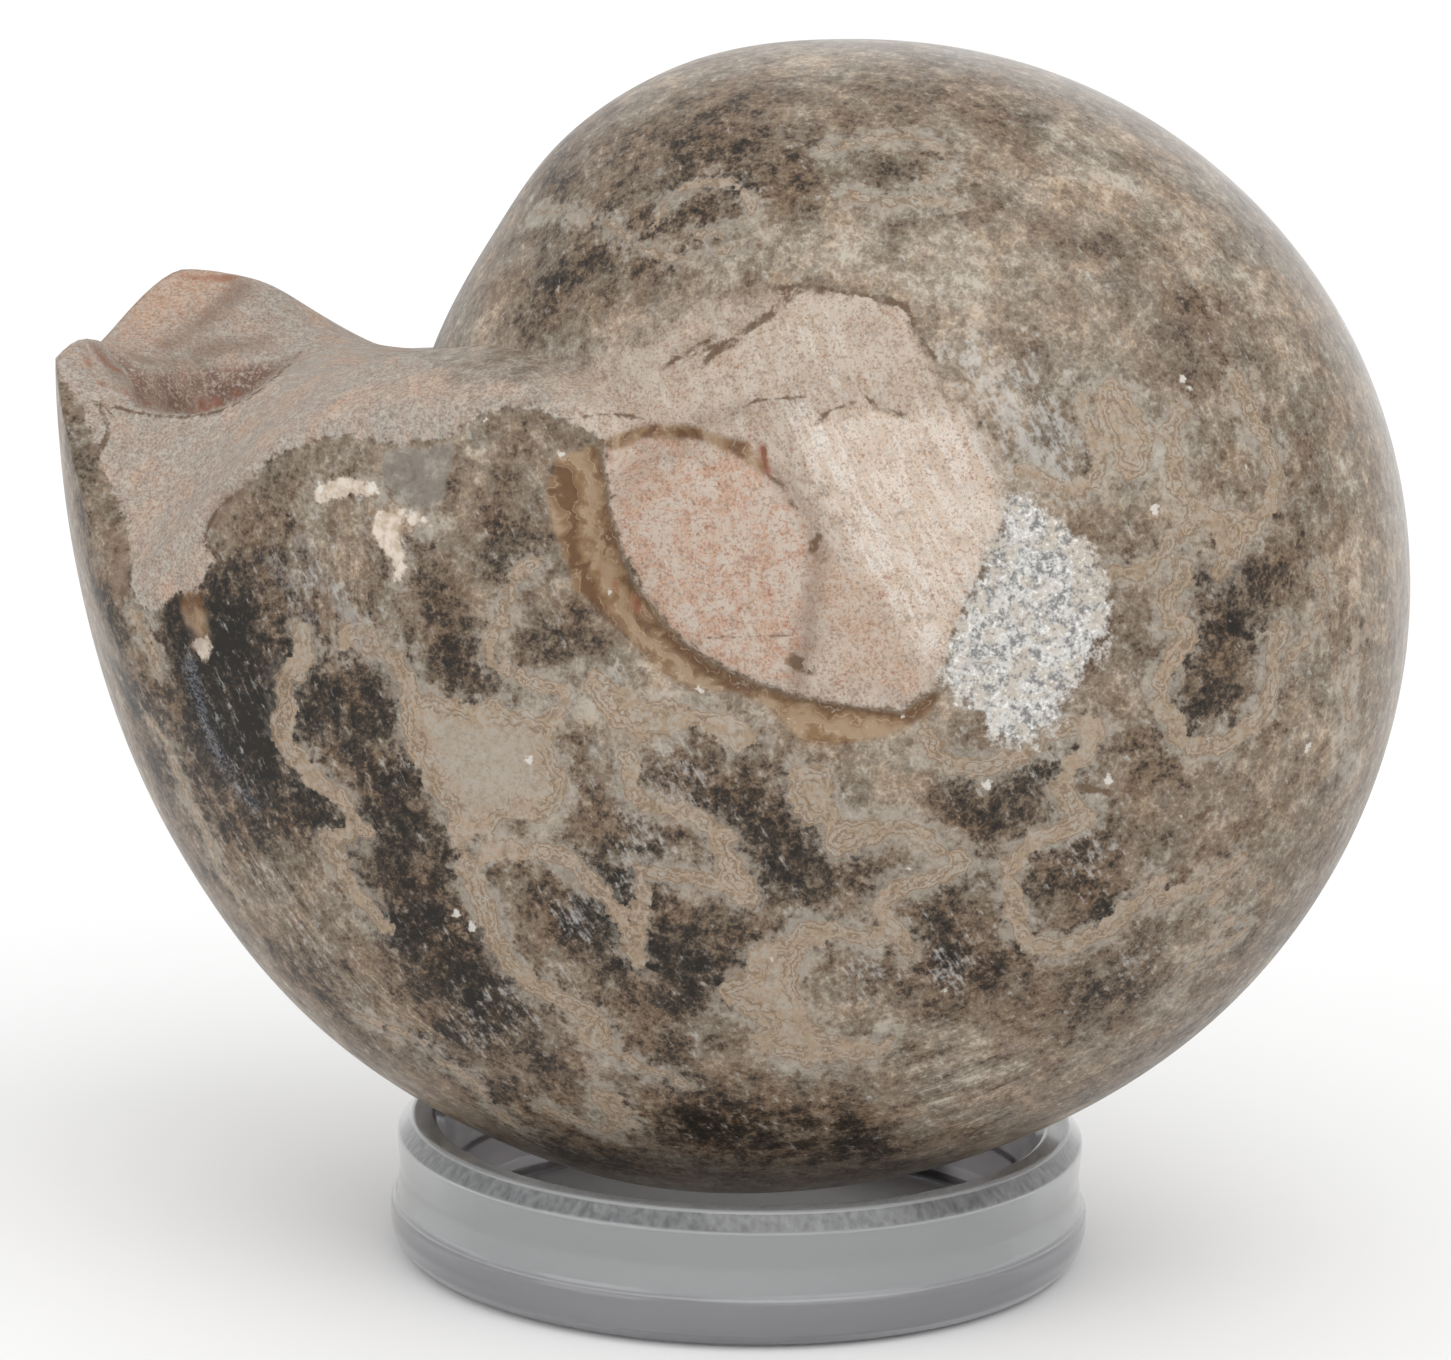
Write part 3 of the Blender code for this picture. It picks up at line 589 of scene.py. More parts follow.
def inside_outline(pixels, outline):
    """Distance in mm inside a closed outline of pixels, less than 0 outside."""
    corners = [np.array(corner, dtype=float) for corner in outline]
    corners.append(corners[0])
    low = np.min(corners, axis=0) - CLEAR_OF_MARK * PIXELS_PER_MM
    high = np.max(corners, axis=0) + CLEAR_OF_MARK * PIXELS_PER_MM
    close = np.all((pixels > low) & (pixels < high), axis=1)
    x, y = pixels[close].T
    crossings = np.zeros(len(x), dtype=int)
    for (x0, y0), (x1, y1) in zip(corners, corners[1:]):
        if y0 != y1:
            spans = (y0 > y) != (y1 > y)
            crossings += spans & (x < x0 + (y - y0) * (x1 - x0) / (y1 - y0))
    gap = distance_to_run(pixels[close], corners) / PIXELS_PER_MM
    result = np.full(len(pixels), -CLEAR_OF_MARK)
    result[close] = np.where(crossings % 2 == 1, gap, -gap)
    return result


def rounded_run(run):
    """Smooth run of close pixels through the given ones."""
    points = np.array(run, dtype=float)
    padded = np.vstack((points[0], points, points[-1]))
    result = []
    for i in range(len(points) - 1):
        a, b, c, d = padded[i:i + 4]
        for t in np.linspace(0.0, 1.0, RUN_STEPS, endpoint=False):
            result.append(0.5 * (2 * b + (c - a) * t + (2 * a - 5 * b + 4 * c - d) * t ** 2
                                 + (3 * b - a - 3 * c + d) * t ** 3))
    result.append(points[-1])
    return result


def surface_tree(places, mesh):
    """Search tree of the mesh's faces at the given places."""
    faces = [tuple(face.vertices) for face in mesh.polygons]
    return BVHTree.FromPolygons(places.tolist(), faces)


def on_surface(tree, pixel):
    """Point of the fossil under a pixel of the photograph, or the nearest one to its ray."""
    start, direction = pixel_ray(pixel)
    hit = tree.ray_cast(start, direction)[0]
    if hit is None:
        hit = tree.find_nearest(start + direction * VIEW_DISTANCE)[0]
    return hit


def seen_in_photo(tree, places):
    """Whether each point of the surface shows in the photograph."""
    eye = view_place()
    seen = []
    for place in places:
        toward = Vector(place) - eye
        distance = tree.ray_cast(eye, toward.normalized())[3]
        seen.append(distance is not None and distance > toward.length - SEEN_GAP)
    return np.array(seen)


def run_marks(tree, runs):
    """Close points on the surface along runs, each with its run's half width in mm."""
    spots = []
    for half_width, run in runs:
        spots += [(on_surface(tree, pixel), half_width) for pixel in rounded_run(run)]
    return spots


def inside_marks(places, spots):
    """Distance in mm inside the nearest of the round spots, less than 0 outside."""
    search = KDTree(len(spots))
    for index, (spot, _) in enumerate(spots):
        search.insert(spot, index)
    search.balance()
    result = []
    for place in places:
        _, index, gap = search.find(place)
        result.append(spots[index][1] - gap / MM)
    return np.maximum(result, -CLEAR_OF_MARK)


def lines_near(pixels, runs):
    """Signed distance in mm to the nearest run, that run's half width, and the plain distance."""
    side = np.full(len(pixels), CLEAR_OF_MARK)
    width = np.zeros(len(pixels))
    nearest = np.full(len(pixels), np.inf)
    for half_width, run in runs:
        points = rounded_run(run)
        for first, second in zip(points, points[1:]):
            along = second - first
            offset = pixels - first
            share = np.clip((offset @ along) / (along @ along), 0.0, 1.0)
            gap = np.hypot(*(offset - share[:, None] * along).T)
            beside = (along[0] * offset[:, 1] - along[1] * offset[:, 0]) / np.hypot(*along)
            closer = gap < nearest
            nearest = np.where(closer, gap, nearest)
            side = np.where(closer, beside / PIXELS_PER_MM, side)
            width = np.where(closer, half_width, width)
    return side, width, nearest / PIXELS_PER_MM


def soft_spots(tree, places, spots):
    """Sum of soft round spots on the surface, each by its pixel, size in mm and amount."""
    total = np.zeros(len(places))
    for x, y, size, amount in spots:
        gap = places - np.array(on_surface(tree, (x, y)))
        total += amount * np.exp(-(gap ** 2).sum(axis=1) / (size * MM) ** 2)
    return total


def mirrored(places):
    """Places of the far flank on the near one: an ammonite's sutures are the same on both."""
    offset = places - np.array(COIL)
    offset[:, 1] = -np.abs(offset[:, 1])
    return offset + np.array(COIL)


def carried_round(places, seen, mirror):
    """For each point, the nearest one that the photograph shows, and its distance in mm."""
    shown = np.flatnonzero(seen)
    search = KDTree(len(shown))
    for index in shown:
        search.insert(places[index], index)
    search.balance()
    sources = np.arange(len(places))
    gaps = np.zeros(len(places))
    near = np.where(mirror[:, None], mirrored(places), places)
    for index in np.flatnonzero(~seen | mirror):
        _, sources[index], gaps[index] = search.find(near[index])
    return sources, gaps / MM


def fine_relief(points, mouth):
    """Sink the amber bank, the cracks, the valley between the facets and the mouth's hollow."""
    pixels = pixels_of(points * MM + np.array(COIL))
    front = points[:, 1] < 0.0
    outside_rock = np.maximum(-inside_outline(pixels, ROCK), 0.0)
    bank = smooth(inside_outline(pixels, AMBER_BANK), *BANK_EDGE)
    sink = BANK_DEPTH * bank * np.exp(-(outside_rock / BANK_REACH) ** 2)
    for half_width, run in DEEP_CRACKS:
        gap = distance_to_run(pixels, np.array(run, dtype=float)) / PIXELS_PER_MM
        sink += CRACK_DEPTH * np.exp(-(gap / (half_width + CRACK_REACH)) ** 2)
    gap = distance_to_run(pixels, np.array(FACET_VALLEY, dtype=float)) / PIXELS_PER_MM
    sink += VALLEY_DEPTH * np.exp(-(gap / VALLEY_REACH) ** 2)
    points[:, 1] += np.where(front, sink, 0.0)
    lip_angle = np.radians(NOTCH_ANGLE - SWEEP)
    outwards = np.array((np.sin(lip_angle), 0.0, -np.cos(lip_angle)))
    hollow = HOLLOW_DEPTH * smooth(inside_outline(pixels, HOLLOW), 0.0, HOLLOW_REACH)
    points -= np.outer(np.where(mouth > 0.0, hollow, 0.0), outwards)


def make_fossil_mesh():
    """The fossil's fine surface, kept inside the solid's box."""
    shell = bmesh.new()
    bmesh.ops.create_uvsphere(shell, u_segments=COLUMNS, v_segments=NEAR_ROWS + FAR_ROWS, radius=1.0)
    mesh = bpy.data.meshes.new("fossil")
    shell.to_mesh(mesh)
    shell.free()
    directions = np.empty(len(mesh.vertices) * 3)
    mesh.vertices.foreach_get("co", directions)
    x, y, z = directions.reshape(-1, 3).T
    start = NOTCH_COLUMN * FULL_TURN / COLUMNS
    turn = (start - np.degrees(np.arctan2(y, x))) % FULL_TURN
    row = np.arccos(np.clip(z, -1.0, 1.0)) / np.pi * (NEAR_ROWS + FAR_ROWS)
    points, mouth = fossil_points(turn, row)
    fine_relief(points, mouth)
    places = np.clip(points * MM + np.array(COIL), FOSSIL_LOW, FOSSIL_HIGH)
    mesh.vertices.foreach_set("co", places.ravel())
    mesh.polygons.foreach_set("use_smooth", [True] * len(mesh.polygons))
    mesh.update()
    return mesh, places, mouth


def store(mesh, name, values):
    """Store one number for each vertex."""
    attribute = mesh.attributes.new(name, "FLOAT", "POINT")
    attribute.data.foreach_set("value", np.asarray(values, dtype=np.float32))


def mark_fossil(mesh, places, mouth):
    """Work out where the sutures, tones, rock and crystals lie, and store them on the mesh."""
    tree = surface_tree(places, mesh)
    seen = seen_in_photo(tree, places)
    far_flank = (places[:, 1] > COIL.y) & (mouth <= 0.0)
    mirror = far_flank & ~seen
    near = np.where(mirror[:, None], mirrored(places), places)
    sources, gaps = carried_round(places, seen, mirror)
    pixels = pixels_of(places)
    both_flanks = {"rock": (ROCK,), "patch": PATCHES, "streak": STREAKS}
    near_flank = {"pink": (PINK_FACET,), "cream": (CREAM_FACET,), "crystal": (CRYSTALS,),
                  "amber": (AMBER_BANK, AMBER_RIM, TONGUE), "hollow": (HOLLOW,), "hump": (HUMP,),
                  "shelf": (GREY_SHELF,), "fade": ROCK_FADES, "flake": FLAKES}
    fields = {}
    for name, shapes in (both_flanks | near_flank).items():
        inside = np.max([inside_outline(pixels, shape) for shape in shapes], axis=0)
        fields[name] = np.maximum(inside[sources] - gaps, -CLEAR_OF_MARK)
        if name in near_flank:
            fields[name] = np.where(mirror, -CLEAR_OF_MARK, fields[name])
    fields["rock"] = np.where((mouth > 0.0) & ~seen, HIDDEN_ROCK, fields["rock"])
    fields["band"] = np.maximum(inside_marks(near, run_marks(tree, BANDS)), fields.pop("patch"))
    side, width, gap = lines_near(pixels, CRACKS_AND_SHADOW_LINE)
    fields["crack_side"] = side
    fields["crack_width"] = width
    fields["crack_gap"] = np.where(seen, gap, CLEAR_OF_MARK)
    fields["tone"] = np.clip(soft_spots(tree, near, TONES_AND_PAINTED_LIGHT), *TONE_RANGE)
    fields["dust"] = soft_spots(tree, near, DUSTINGS)
    for name, spots in (("plug", PLUG_ROCK), ("warm", WARM_SPOTS), ("ridge", RIDGE_HIGHLIGHT_SPOTS)):
        fields[name] = soft_spots(tree, places, spots)
    for name, runs in (("rust", RUST_MARKS), ("shade", SHADES), ("bluish", BLUISH)):
        fields[name] = inside_marks(places, run_marks(tree, runs))
    for name, values in fields.items():
        store(mesh, name, values)
    return [(tuple((on_surface(tree, (x, y)) - COIL) / MM), radius) for x, y, radius in FLECKS_AND_GLINTS]


class Value:
    """A number or colour in a material: expressions on it add the nodes that work it out."""

    def __init__(self, tree, socket):
        self.tree = tree
        self.socket = socket

    def math(self, operation, *others):
        return node(self.tree, "ShaderNodeMath", {"operation": operation}, (self, *others))

    def __add__(self, other):
        return self.math("ADD", other)

    __radd__ = __add__

    def __sub__(self, other):
        return self.math("SUBTRACT", other)

    def __rsub__(self, other):
        return node(self.tree, "ShaderNodeMath", {"operation": "SUBTRACT"}, (other, self))

    def __mul__(self, other):
        return self.math("MULTIPLY", other)

    __rmul__ = __mul__

    def __abs__(self):
        return self.math("ABSOLUTE")

    def swing(self, size):
        """A noise's swing about its middle, times a size."""
        return (self - NOISE_MIDDLE) * size

    def span(self, low, high):
        """From low to high as this goes from 0 to 1."""
        return low + self * (high - low)

    def step(self, start, end):
        """0 at start to 1 at end, with level ends."""
        return node(self.tree, "ShaderNodeMapRange", {"interpolation_type": "SMOOTHSTEP"},
                    {"Value": self, "From Min": start, "From Max": end})


def node(tree, kind, settings=None, inputs=None, output=0):
    """Add a node: its settings first, then the values or links of its sockets."""
    made = tree.nodes.new(kind)
    for name, value in (settings or {}).items():
        if name == "stops":
            set_stops(made.color_ramp, value)
        else:
            setattr(made, name, value)
    pairs = inputs.items() if isinstance(inputs, dict) else enumerate(inputs or ())
    for key, value in pairs:
        socket = made.inputs[key]
        if isinstance(value, Value):
            tree.links.new(value.socket, socket)
        else:
            socket.default_value = value
    return Value(tree, made.outputs[output])


def set_stops(ramp, stops):
    """Give a colour ramp its stops."""
    while len(ramp.elements) < len(stops):
        ramp.elements.new(1.0)
    for element, (place, colour) in zip(ramp.elements, stops):
        element.position = place
        element.color = (*colour, 1.0)


def mix(share, first, second, blend="MIX"):
    """Mix two colours."""
    tree = share.tree
    first = (*first, 1.0) if isinstance(first, tuple) else first
    second = (*second, 1.0) if isinstance(second, tuple) else second
    return node(tree, "ShaderNodeMix", {"data_type": "RGBA", "blend_type": blend},
                {0: share, 6: first, 7: second}, output=2)


def attribute(tree, name):
    """A number stored on the mesh."""
    return node(tree, "ShaderNodeAttribute", {"attribute_name": name}, output="Fac")


def noise(tree, place, scale, detail, roughness, distortion):
    """Noise from 0 to 1, mostly between 0.3 and 0.7."""
    return node(tree, "ShaderNodeTexNoise", {"noise_dimensions": "3D"},
                {"Vector": place, "Scale": scale, "Detail": detail, "Roughness": roughness,
                 "Distortion": distortion})


def new_material(name):
    """An empty material with its tree and shader."""
    material = bpy.data.materials.new(name)
    material.use_nodes = True
    return material, material.node_tree, material.node_tree.nodes["Principled BSDF"]


def feed(value, shader, socket):
    """Link a value to a socket of the shader."""
    value.tree.links.new(value.socket, shader.inputs[socket])


def place_in_mm(tree):
    """Place on the piece in mm, from the coil's centre."""
    place = node(tree, "ShaderNodeTexCoord", output="Object")
    centre = tuple(-value for value in COIL)
    place = node(tree, "ShaderNodeVectorMath", {"operation": "ADD"}, (place, centre))
    return node(tree, "ShaderNodeVectorMath", {"operation": "SCALE"}, {0: place, "Scale": SHADER_MM})


def joined(tree, x, y, z):
    """A vector from three numbers."""
    return node(tree, "ShaderNodeCombineXYZ", inputs=(x, y, z))


def split(tree, place):
    """The three numbers of a vector."""
    return [node(tree, "ShaderNodeSeparateXYZ", inputs=(place,), output=i) for i in range(3)]


# Colours of the stone.
INK = (0.016, 0.013, 0.010)
DARK = (0.050, 0.036, 0.026)
BROWN = (0.150, 0.106, 0.072)
GREY_BROWN = (0.216, 0.173, 0.131)
TAN = (0.338, 0.270, 0.206)
PALE = (0.490, 0.420, 0.345)
WARM_TINT = (1.0, 0.84, 0.66)
COOL_TINT = (0.86, 0.93, 0.94)
SUTURE_TAN = (0.338, 0.254, 0.173)
SUTURE_PINK = (0.385, 0.286, 0.204)
SUTURE_LINE = (0.165, 0.105, 0.060)
CHALK = (0.352, 0.322, 0.275)
DUST_WHITE = (0.47, 0.46, 0.44)
BLUE_GREY = (0.160, 0.175, 0.205)
GLINT_GREY = (0.42, 0.43, 0.44)
ROCK_PINK = (0.356, 0.282, 0.234)
ROCK_GREY = (0.335, 0.298, 0.256)
ROCK_ORANGE = (0.470, 0.300, 0.198)
ROCK_PALE = (0.480, 0.425, 0.370)
ROCK_DARK = (0.105, 0.080, 0.062)
WARM_ROCK = (0.480, 0.318, 0.222)
FACET_PINK = (0.490, 0.323, 0.236)
FACET_PALE = (0.522, 0.428, 0.354)
CREAM = (0.670, 0.580, 0.500)
CREAM_TAN = (0.575, 0.450, 0.355)
SCRATCH_AND_HIGHLIGHT_WHITE = (0.700, 0.660, 0.610)
CRYSTAL_WHITE = (0.600, 0.588, 0.562)
CRYSTAL_TAN = (0.460, 0.400, 0.330)
CRYSTAL_GREY = (0.205, 0.205, 0.205)
SPARKLE = (0.900, 0.900, 0.890)
AMBER_DARK = (0.120, 0.058, 0.024)
AMBER_MID = (0.215, 0.128, 0.064)
AMBER_PALE = (0.385, 0.285, 0.190)
AMBER_LINE = (0.500, 0.400, 0.290)
PLUG_BEIGE = (0.520, 0.435, 0.355)
PLUG_TAN = (0.440, 0.340, 0.260)
FLAKE_CREAM = (0.470, 0.385, 0.290)
SHADE_BROWN = (0.180, 0.118, 0.084)
RUST_RED = (0.260, 0.085, 0.045)
CRACK_AND_SHADOW_BROWN = (0.110, 0.064, 0.034)
SHELF_GREY = (0.200, 0.176, 0.150)
HOLLOW_RED = (0.165, 0.082, 0.060)
HOLLOW_PINK = (0.300, 0.195, 0.150)
HUMP_ORANGE = (0.430, 0.255, 0.165)
FLECK_AND_GLINT_WHITE = (0.620, 0.600, 0.550)

# Noises of the stone: scale per mm, detail, roughness and distortion.
NOISES = {
    "broad": (0.11, 3.0, 0.60, 0.0), "patch": (0.40, 5.0, 0.66, 0.4), "clump": (1.00, 4.0, 0.68, 0.0),
    "grain": (2.40, 3.0, 0.62, 0.0), "grit": (5.20, 2.0, 0.60, 0.0), "specks": (3.60, 2.0, 0.50, 0.0),
    "hue": (0.27, 4.0, 0.62, 0.0), "tint": (0.50, 4.0, 0.60, 0.0), "frill": (0.85, 3.0, 0.55, 0.0),
    "vein": (0.33, 3.0, 0.60, 0.7),
}
DRAWN_NOISE = (1.0, 5.0, 0.7, 0.0)

# Streaks round the coil: how drawn out they are round it and across it.
STREAK_ROUND = 6.0
STREAK_ACROSS = 1.1
LEAST_RADIUS = 0.001

# Scratches and glints: direction in the plane of the coil, and stretch along, across and into it.
SCRATCH_ALONG = (0.50, -0.87)
SCRATCH_STRETCH = (0.26, 1.9, 0.7)
GLINT_STRETCH = (0.50, 2.6, 1.4)

# Pale web between the shell's grains.
WEB_SCALE = 1.35
WEB_BEND = (2.0, -1.5, 1.2)
WEB_EDGE = (0.02, 0.17)
WEB_MIDDLE = 0.35

# Masks of the stone: the noise or stored number that each one starts from, how far other noises
# bend it, from where to where it rises, and its share.
MASKS = {
    "streaky": ("streak", {"clump": 5.0}, (-1.8, 1.4), 1.0),
    "warm_shell": ("hue", {"clump": 0.8}, (0.46, 0.64), 0.42),
    "cool_shell": ("hue", {"clump": -0.8}, (0.54, 0.38), 0.70),
    "dusty": ("dust", {"glints": 3.4, "clump": 1.8, "grain": 1.4}, (0.25, 1.15), 0.60),
    "glinting": ("glints", {}, (0.60, 0.72), 1.0),
    "glint_patches": ("patch", {}, (0.46, 0.60), 1.0),
    "glint_ground": ("tone", {}, (-1.4, -0.4), 1.0),
    "halo": ("band", {"patch": 4.2, "clump": 3.2, "grain": 2.4}, (-1.10, 0.30), 1.0),
    "halo_ground": ("tone", {}, (-1.3, -0.3), 1.0),
    "pink_suture": ("tint", {}, (0.42, 0.60), 1.0),
    "chalky_suture": ("clump", {"grain": 1.0}, (0.44, 0.66), 0.70),
    "gritty_suture": ("grain", {"grit": 0.8}, (0.52, 0.32), 0.45),
    "suture_gaps": ("patch", {"grain": 0.8}, (0.55, 0.72), 0.50),
    "line_patches": ("patch", {}, (0.36, 0.52), 0.80),
    "grey_rock": ("tint", {"clump": 0.6}, (0.40, 0.62), 1.0),
    "orange_rock": ("hue", {"clump": 0.5}, (0.50, 0.66), 0.50),
    "plug": ("plug", {"patch": 1.2}, (0.25, 0.75), 1.0),
    "beige_plug": ("tint", {"scratches": 1.2}, (0.38, 0.64), 1.0),
    "pink_facet": ("pink", {"clump": 1.4}, (-0.3, 0.5), 1.0),
    "pale_facet": ("tint", {"clump": 0.7}, (0.40, 0.64), 1.0),
    "orange_facet": ("hue", {"clump": 0.5}, (0.50, 0.66), 0.35),
    "cream_facet": ("cream", {"clump": 4.0}, (-1.1, 1.1), 1.0),
    "pale_cream": ("tint", {"scratches": 1.5}, (0.36, 0.66), 1.0),
    "hump": ("hump", {"patch": 3.0}, (-1.2, 1.6), 0.75),
    "pink_hump": ("scratches", {}, (0.38, 0.62), 1.0),
    "hollow": ("hollow", {"grain": 1.0}, (-0.1, 0.5), 0.80),
    "pink_hollow": ("hue", {"patch": 0.9}, (0.38, 0.62), 1.0),
    "warm_rock": ("warm", {"clump": 1.6, "patch": 1.2}, (0.30, 1.0), 0.55),
    "ridge": ("ridge", {"scratches": 2.6, "grit": 0.8}, (0.45, 1.25), 0.60),
    "scratched": ("scratches", {}, (0.54, 0.72), 1.0),
    "pale_clumps": ("clump", {"grain": 1.2}, (0.52, 0.74), 0.42),
    "dark_clumps": ("clump", {"grain": -1.2}, (0.44, 0.24), 0.40),
    "pale_grit": ("grit", {"grain": 0.7}, (0.50, 0.66), 0.56),
    "dark_grit": ("grit", {"grain": 0.7}, (0.50, 0.30), 0.42),
    "red_specks": ("specks", {"patch": 0.5}, (0.64, 0.71), 1.0),
    "dark_specks": ("specks", {}, (0.36, 0.26), 0.30),
    "fade": ("fade", {}, (-1.5, 1.0), 1.0),
    "shelf": ("shelf", {"patch": 1.8}, (-0.2, 0.4), 0.85),
    "chalky_shelf": ("patch", {"clump": 0.8}, (0.46, 0.66), 0.60),
    "dark_shelf": ("grain", {}, (0.50, 0.34), 0.35),
    "amber": ("amber", {"patch": 1.0}, (-0.20, 0.40), 1.0),
    "amber_middle": ("amber_fold", {}, (0.10, 0.55), 1.0),
    "pale_amber": ("amber_fold", {"clump": 1.2}, (0.45, 0.95), 0.62),
    "amber_line": ("amber_crease", {}, (0.09, 0.02), 1.0),
    "amber_patches": ("patch", {}, (0.40, 0.56), 0.45),
    "crystal": ("crystal", {"patch": 5.0, "clump": 3.4, "grain": 2.0}, (-0.7, 0.5), 1.0),
    "spar": ("clump", {"grain": 1.1, "grit": 0.5}, (0.25, 0.57), 1.0),
    "tan_crystal": ("patch", {"clump": 0.8}, (0.44, 0.64), 0.80),
    "sparkle": ("grain", {"grit": 0.8}, (0.60, 0.74), 0.60),
    "flake": ("flake", {"clump": 1.2, "grain": 0.6}, (-0.1, 0.2), 0.85),
    "cream_flake": ("clump", {}, (0.40, 0.60), 1.0),
    "bluish": ("bluish", {"patch": 1.8, "grit": 1.2}, (-0.6, 0.7), 1.0),
    "bluish_grain": ("grain", {"grit": 1.0}, (0.36, 0.62), 0.60),
    "shade": ("shade", {"patch": 2.4, "clump": 1.2}, (-0.9, 0.5), 0.55),
    "crack": ("crack_inside", {"clump": -0.9, "grain": -0.3}, (-0.12, 0.10), 1.0),
    "crack_ends": ("crack_gap", {}, (0.9, 0.3), 1.0),
    "crack_patches": ("patch", {"clump": 0.8}, (0.36, 0.52), 1.0),
    "rust": ("rust", {"patch": 1.6, "grain": 0.8}, (-0.35, 0.25), 0.60),
    "fleck": ("flecks", {"clump": 1.3, "grain": 1.0}, (-0.08, 0.12), 0.80),
}

# Shell: level of its colour ramp, and how far the tone and each noise shift it.
SHELL_STOPS = ((0.0, INK), (0.20, DARK), (0.40, BROWN), (0.60, GREY_BROWN), (0.80, TAN), (1.0, PALE))
SHELL_LEVEL = 0.600
TONE_SHIFT = 0.41
SHELL_SHIFTS = {"broad": 0.30, "patch": 1.12, "clump": 1.00, "grain": 0.62, "grit": 0.45}
WEB_SHIFT = 0.09
STREAK_SHIFT = 0.30
STREAKY_SHIFT = 1.35
STREAKY_LIFT = -0.05
GLINT_SHARES = (0.14, 0.34)

# Sutures: how far the noises bend their edge in mm, the fine lines along them as place and width
# in mm inside the edge, and the shares of the halo, lines and chalk in their colour.
BAND_BENDS = {"frill": 1.8, "clump": 1.1, "grain": 0.5}
SUTURE_EDGE = (-0.08, 0.14)
SUTURE_LINES = ((0.16, 0.17), (0.58, 0.15), (1.05, 0.14))
LINE_CORE = 0.02
CONTOUR_WIDTH = (0.003, 0.018)
CONTOUR_EDGE = (0.6, 1.2)
CONTOUR_SHARE = 0.5
CORE_EDGE = (1.1, 2.3)
CORE_SHARE = 0.55
HALO_SHARES = (0.13, 0.52)
SUTURE_SHARE = 0.90

# Rock: how far the noises bend its edge in mm, how the edge softens where it fades, and how the
# plug's share of scratches and red specks goes from the rest's to its own.
ROCK_BENDS = {"clump": 1.6, "grain": 0.9}
ROCK_EDGE = (-0.12, 0.24)
FADE_BEND = 4.5
FADE_SOFTNESS = 9.0
FADE_LOSS = 0.25
PLUG_SHARE = 0.85
SCRATCH_SHARES = (0.06, 0.30)
SPECK_SHARES = (0.12, 0.50)
ROCK_GRAINS = (("pale_clumps", ROCK_PALE), ("dark_clumps", ROCK_DARK), ("pale_grit", ROCK_PALE),
               ("dark_grit", ROCK_DARK))

# Amber: its layers in each mm from the rock, how far the noises bend them, and its pale creases.
AMBER_LAYERS = 0.62
AMBER_BENDS = {"vein": 3.4, "clump": 0.9}
CREASES = 1.7
CREASE_FOLD = 0.5
AMBER_SHARE = 0.92
CRYSTAL_SHARE = 0.92
CRACK_THINNING = 0.95
CRACK_SHARE = 0.85

# Surface of the stone: roughness, fine relief and polish, with a painted sheen at the upper right rim.
STONE_ROUGHNESS = 0.36
GRAIN_ROUGHNESS = 0.30
ROCK_ROUGHNESS = 0.36
AMBER_SMOOTHNESS = 0.26
CRYSTAL_SMOOTHNESS = 0.10
GRAIN_RELIEF = (0.30, 1.00)
CLUMP_RELIEF = 1.6
PATCH_RELIEF = 2.4
SPAR_RELIEF = 1.2
CRACK_RELIEF = 1.6
SHELL_RELIEF = 0.5
BUMP_STRENGTH = 0.4
BUMP_DISTANCE = 0.25 * MM
STONE_SPECULAR = 0.14
POLISH = 0.14
UPPER_RIM_SHEEN = 0.62
RIM_BLEND = 0.5
RIM_EDGE = (0.45, 0.95)
SHEEN_HEIGHT = (-25.0, 15.0)
SHEEN_SIDE = (-22.0, 12.0)
POLISH_ROUGHNESS = 0.20


class Fields(dict):
    """The stone's noises by name; any other name is a number stored on the mesh."""

    def __init__(self, tree, place):
        super().__init__({name: noise(tree, place, *kind) for name, kind in NOISES.items()})
        self.tree = tree

    def __missing__(self, name):
        self[name] = attribute(self.tree, name)
        return self[name]

    def bent(self, name, bends):
        """One field, bent by the swings of others."""
        value = self[name]
        for other, size in bends.items():
            value = value + self[other].swing(size)
        return value

    def mask(self, name):
        """One of the masks, from 0 to its share."""
        start, bends, edge, share = MASKS[name]
        value = self.bent(start, bends).step(*edge)
        return value if share == 1.0 else value * share


def streaks(tree, x, y, z):
    """Streaks that run round the coil, as polishing and growth leave them."""
    radius = (x * x + z * z).math("SQRT")
    cosine = x.math("DIVIDE", radius + LEAST_RADIUS)
    sine = z.math("DIVIDE", radius + LEAST_RADIUS)
    across = (radius - abs(y)) * STREAK_ACROSS
    return noise(tree, joined(tree, cosine * STREAK_ROUND, sine * STREAK_ROUND, across), *DRAWN_NOISE)


def stretched(tree, x, y, z, stretch):
    """Noise drawn out along the scratches' direction."""
    along = x * SCRATCH_ALONG[0] + z * SCRATCH_ALONG[1]
    across = z * SCRATCH_ALONG[0] - x * SCRATCH_ALONG[1]
    place = joined(tree, along * stretch[0], across * stretch[1], y * stretch[2])
    return noise(tree, place, *DRAWN_NOISE)


def grains(tree, place, clump):
    """Pale web between the grains of the shell."""
    bend = node(tree, "ShaderNodeVectorMath", {"operation": "SCALE"}, {0: place, "Scale": WEB_SCALE})
    shift = joined(tree, *(clump.swing(size) for size in WEB_BEND))
    bent = node(tree, "ShaderNodeVectorMath", {"operation": "ADD"}, (bend, shift))
    edges = node(tree, "ShaderNodeTexVoronoi", {"feature": "DISTANCE_TO_EDGE"},
                 {"Vector": bent, "Scale": 1.0})
    return 1.0 - edges.step(*WEB_EDGE)


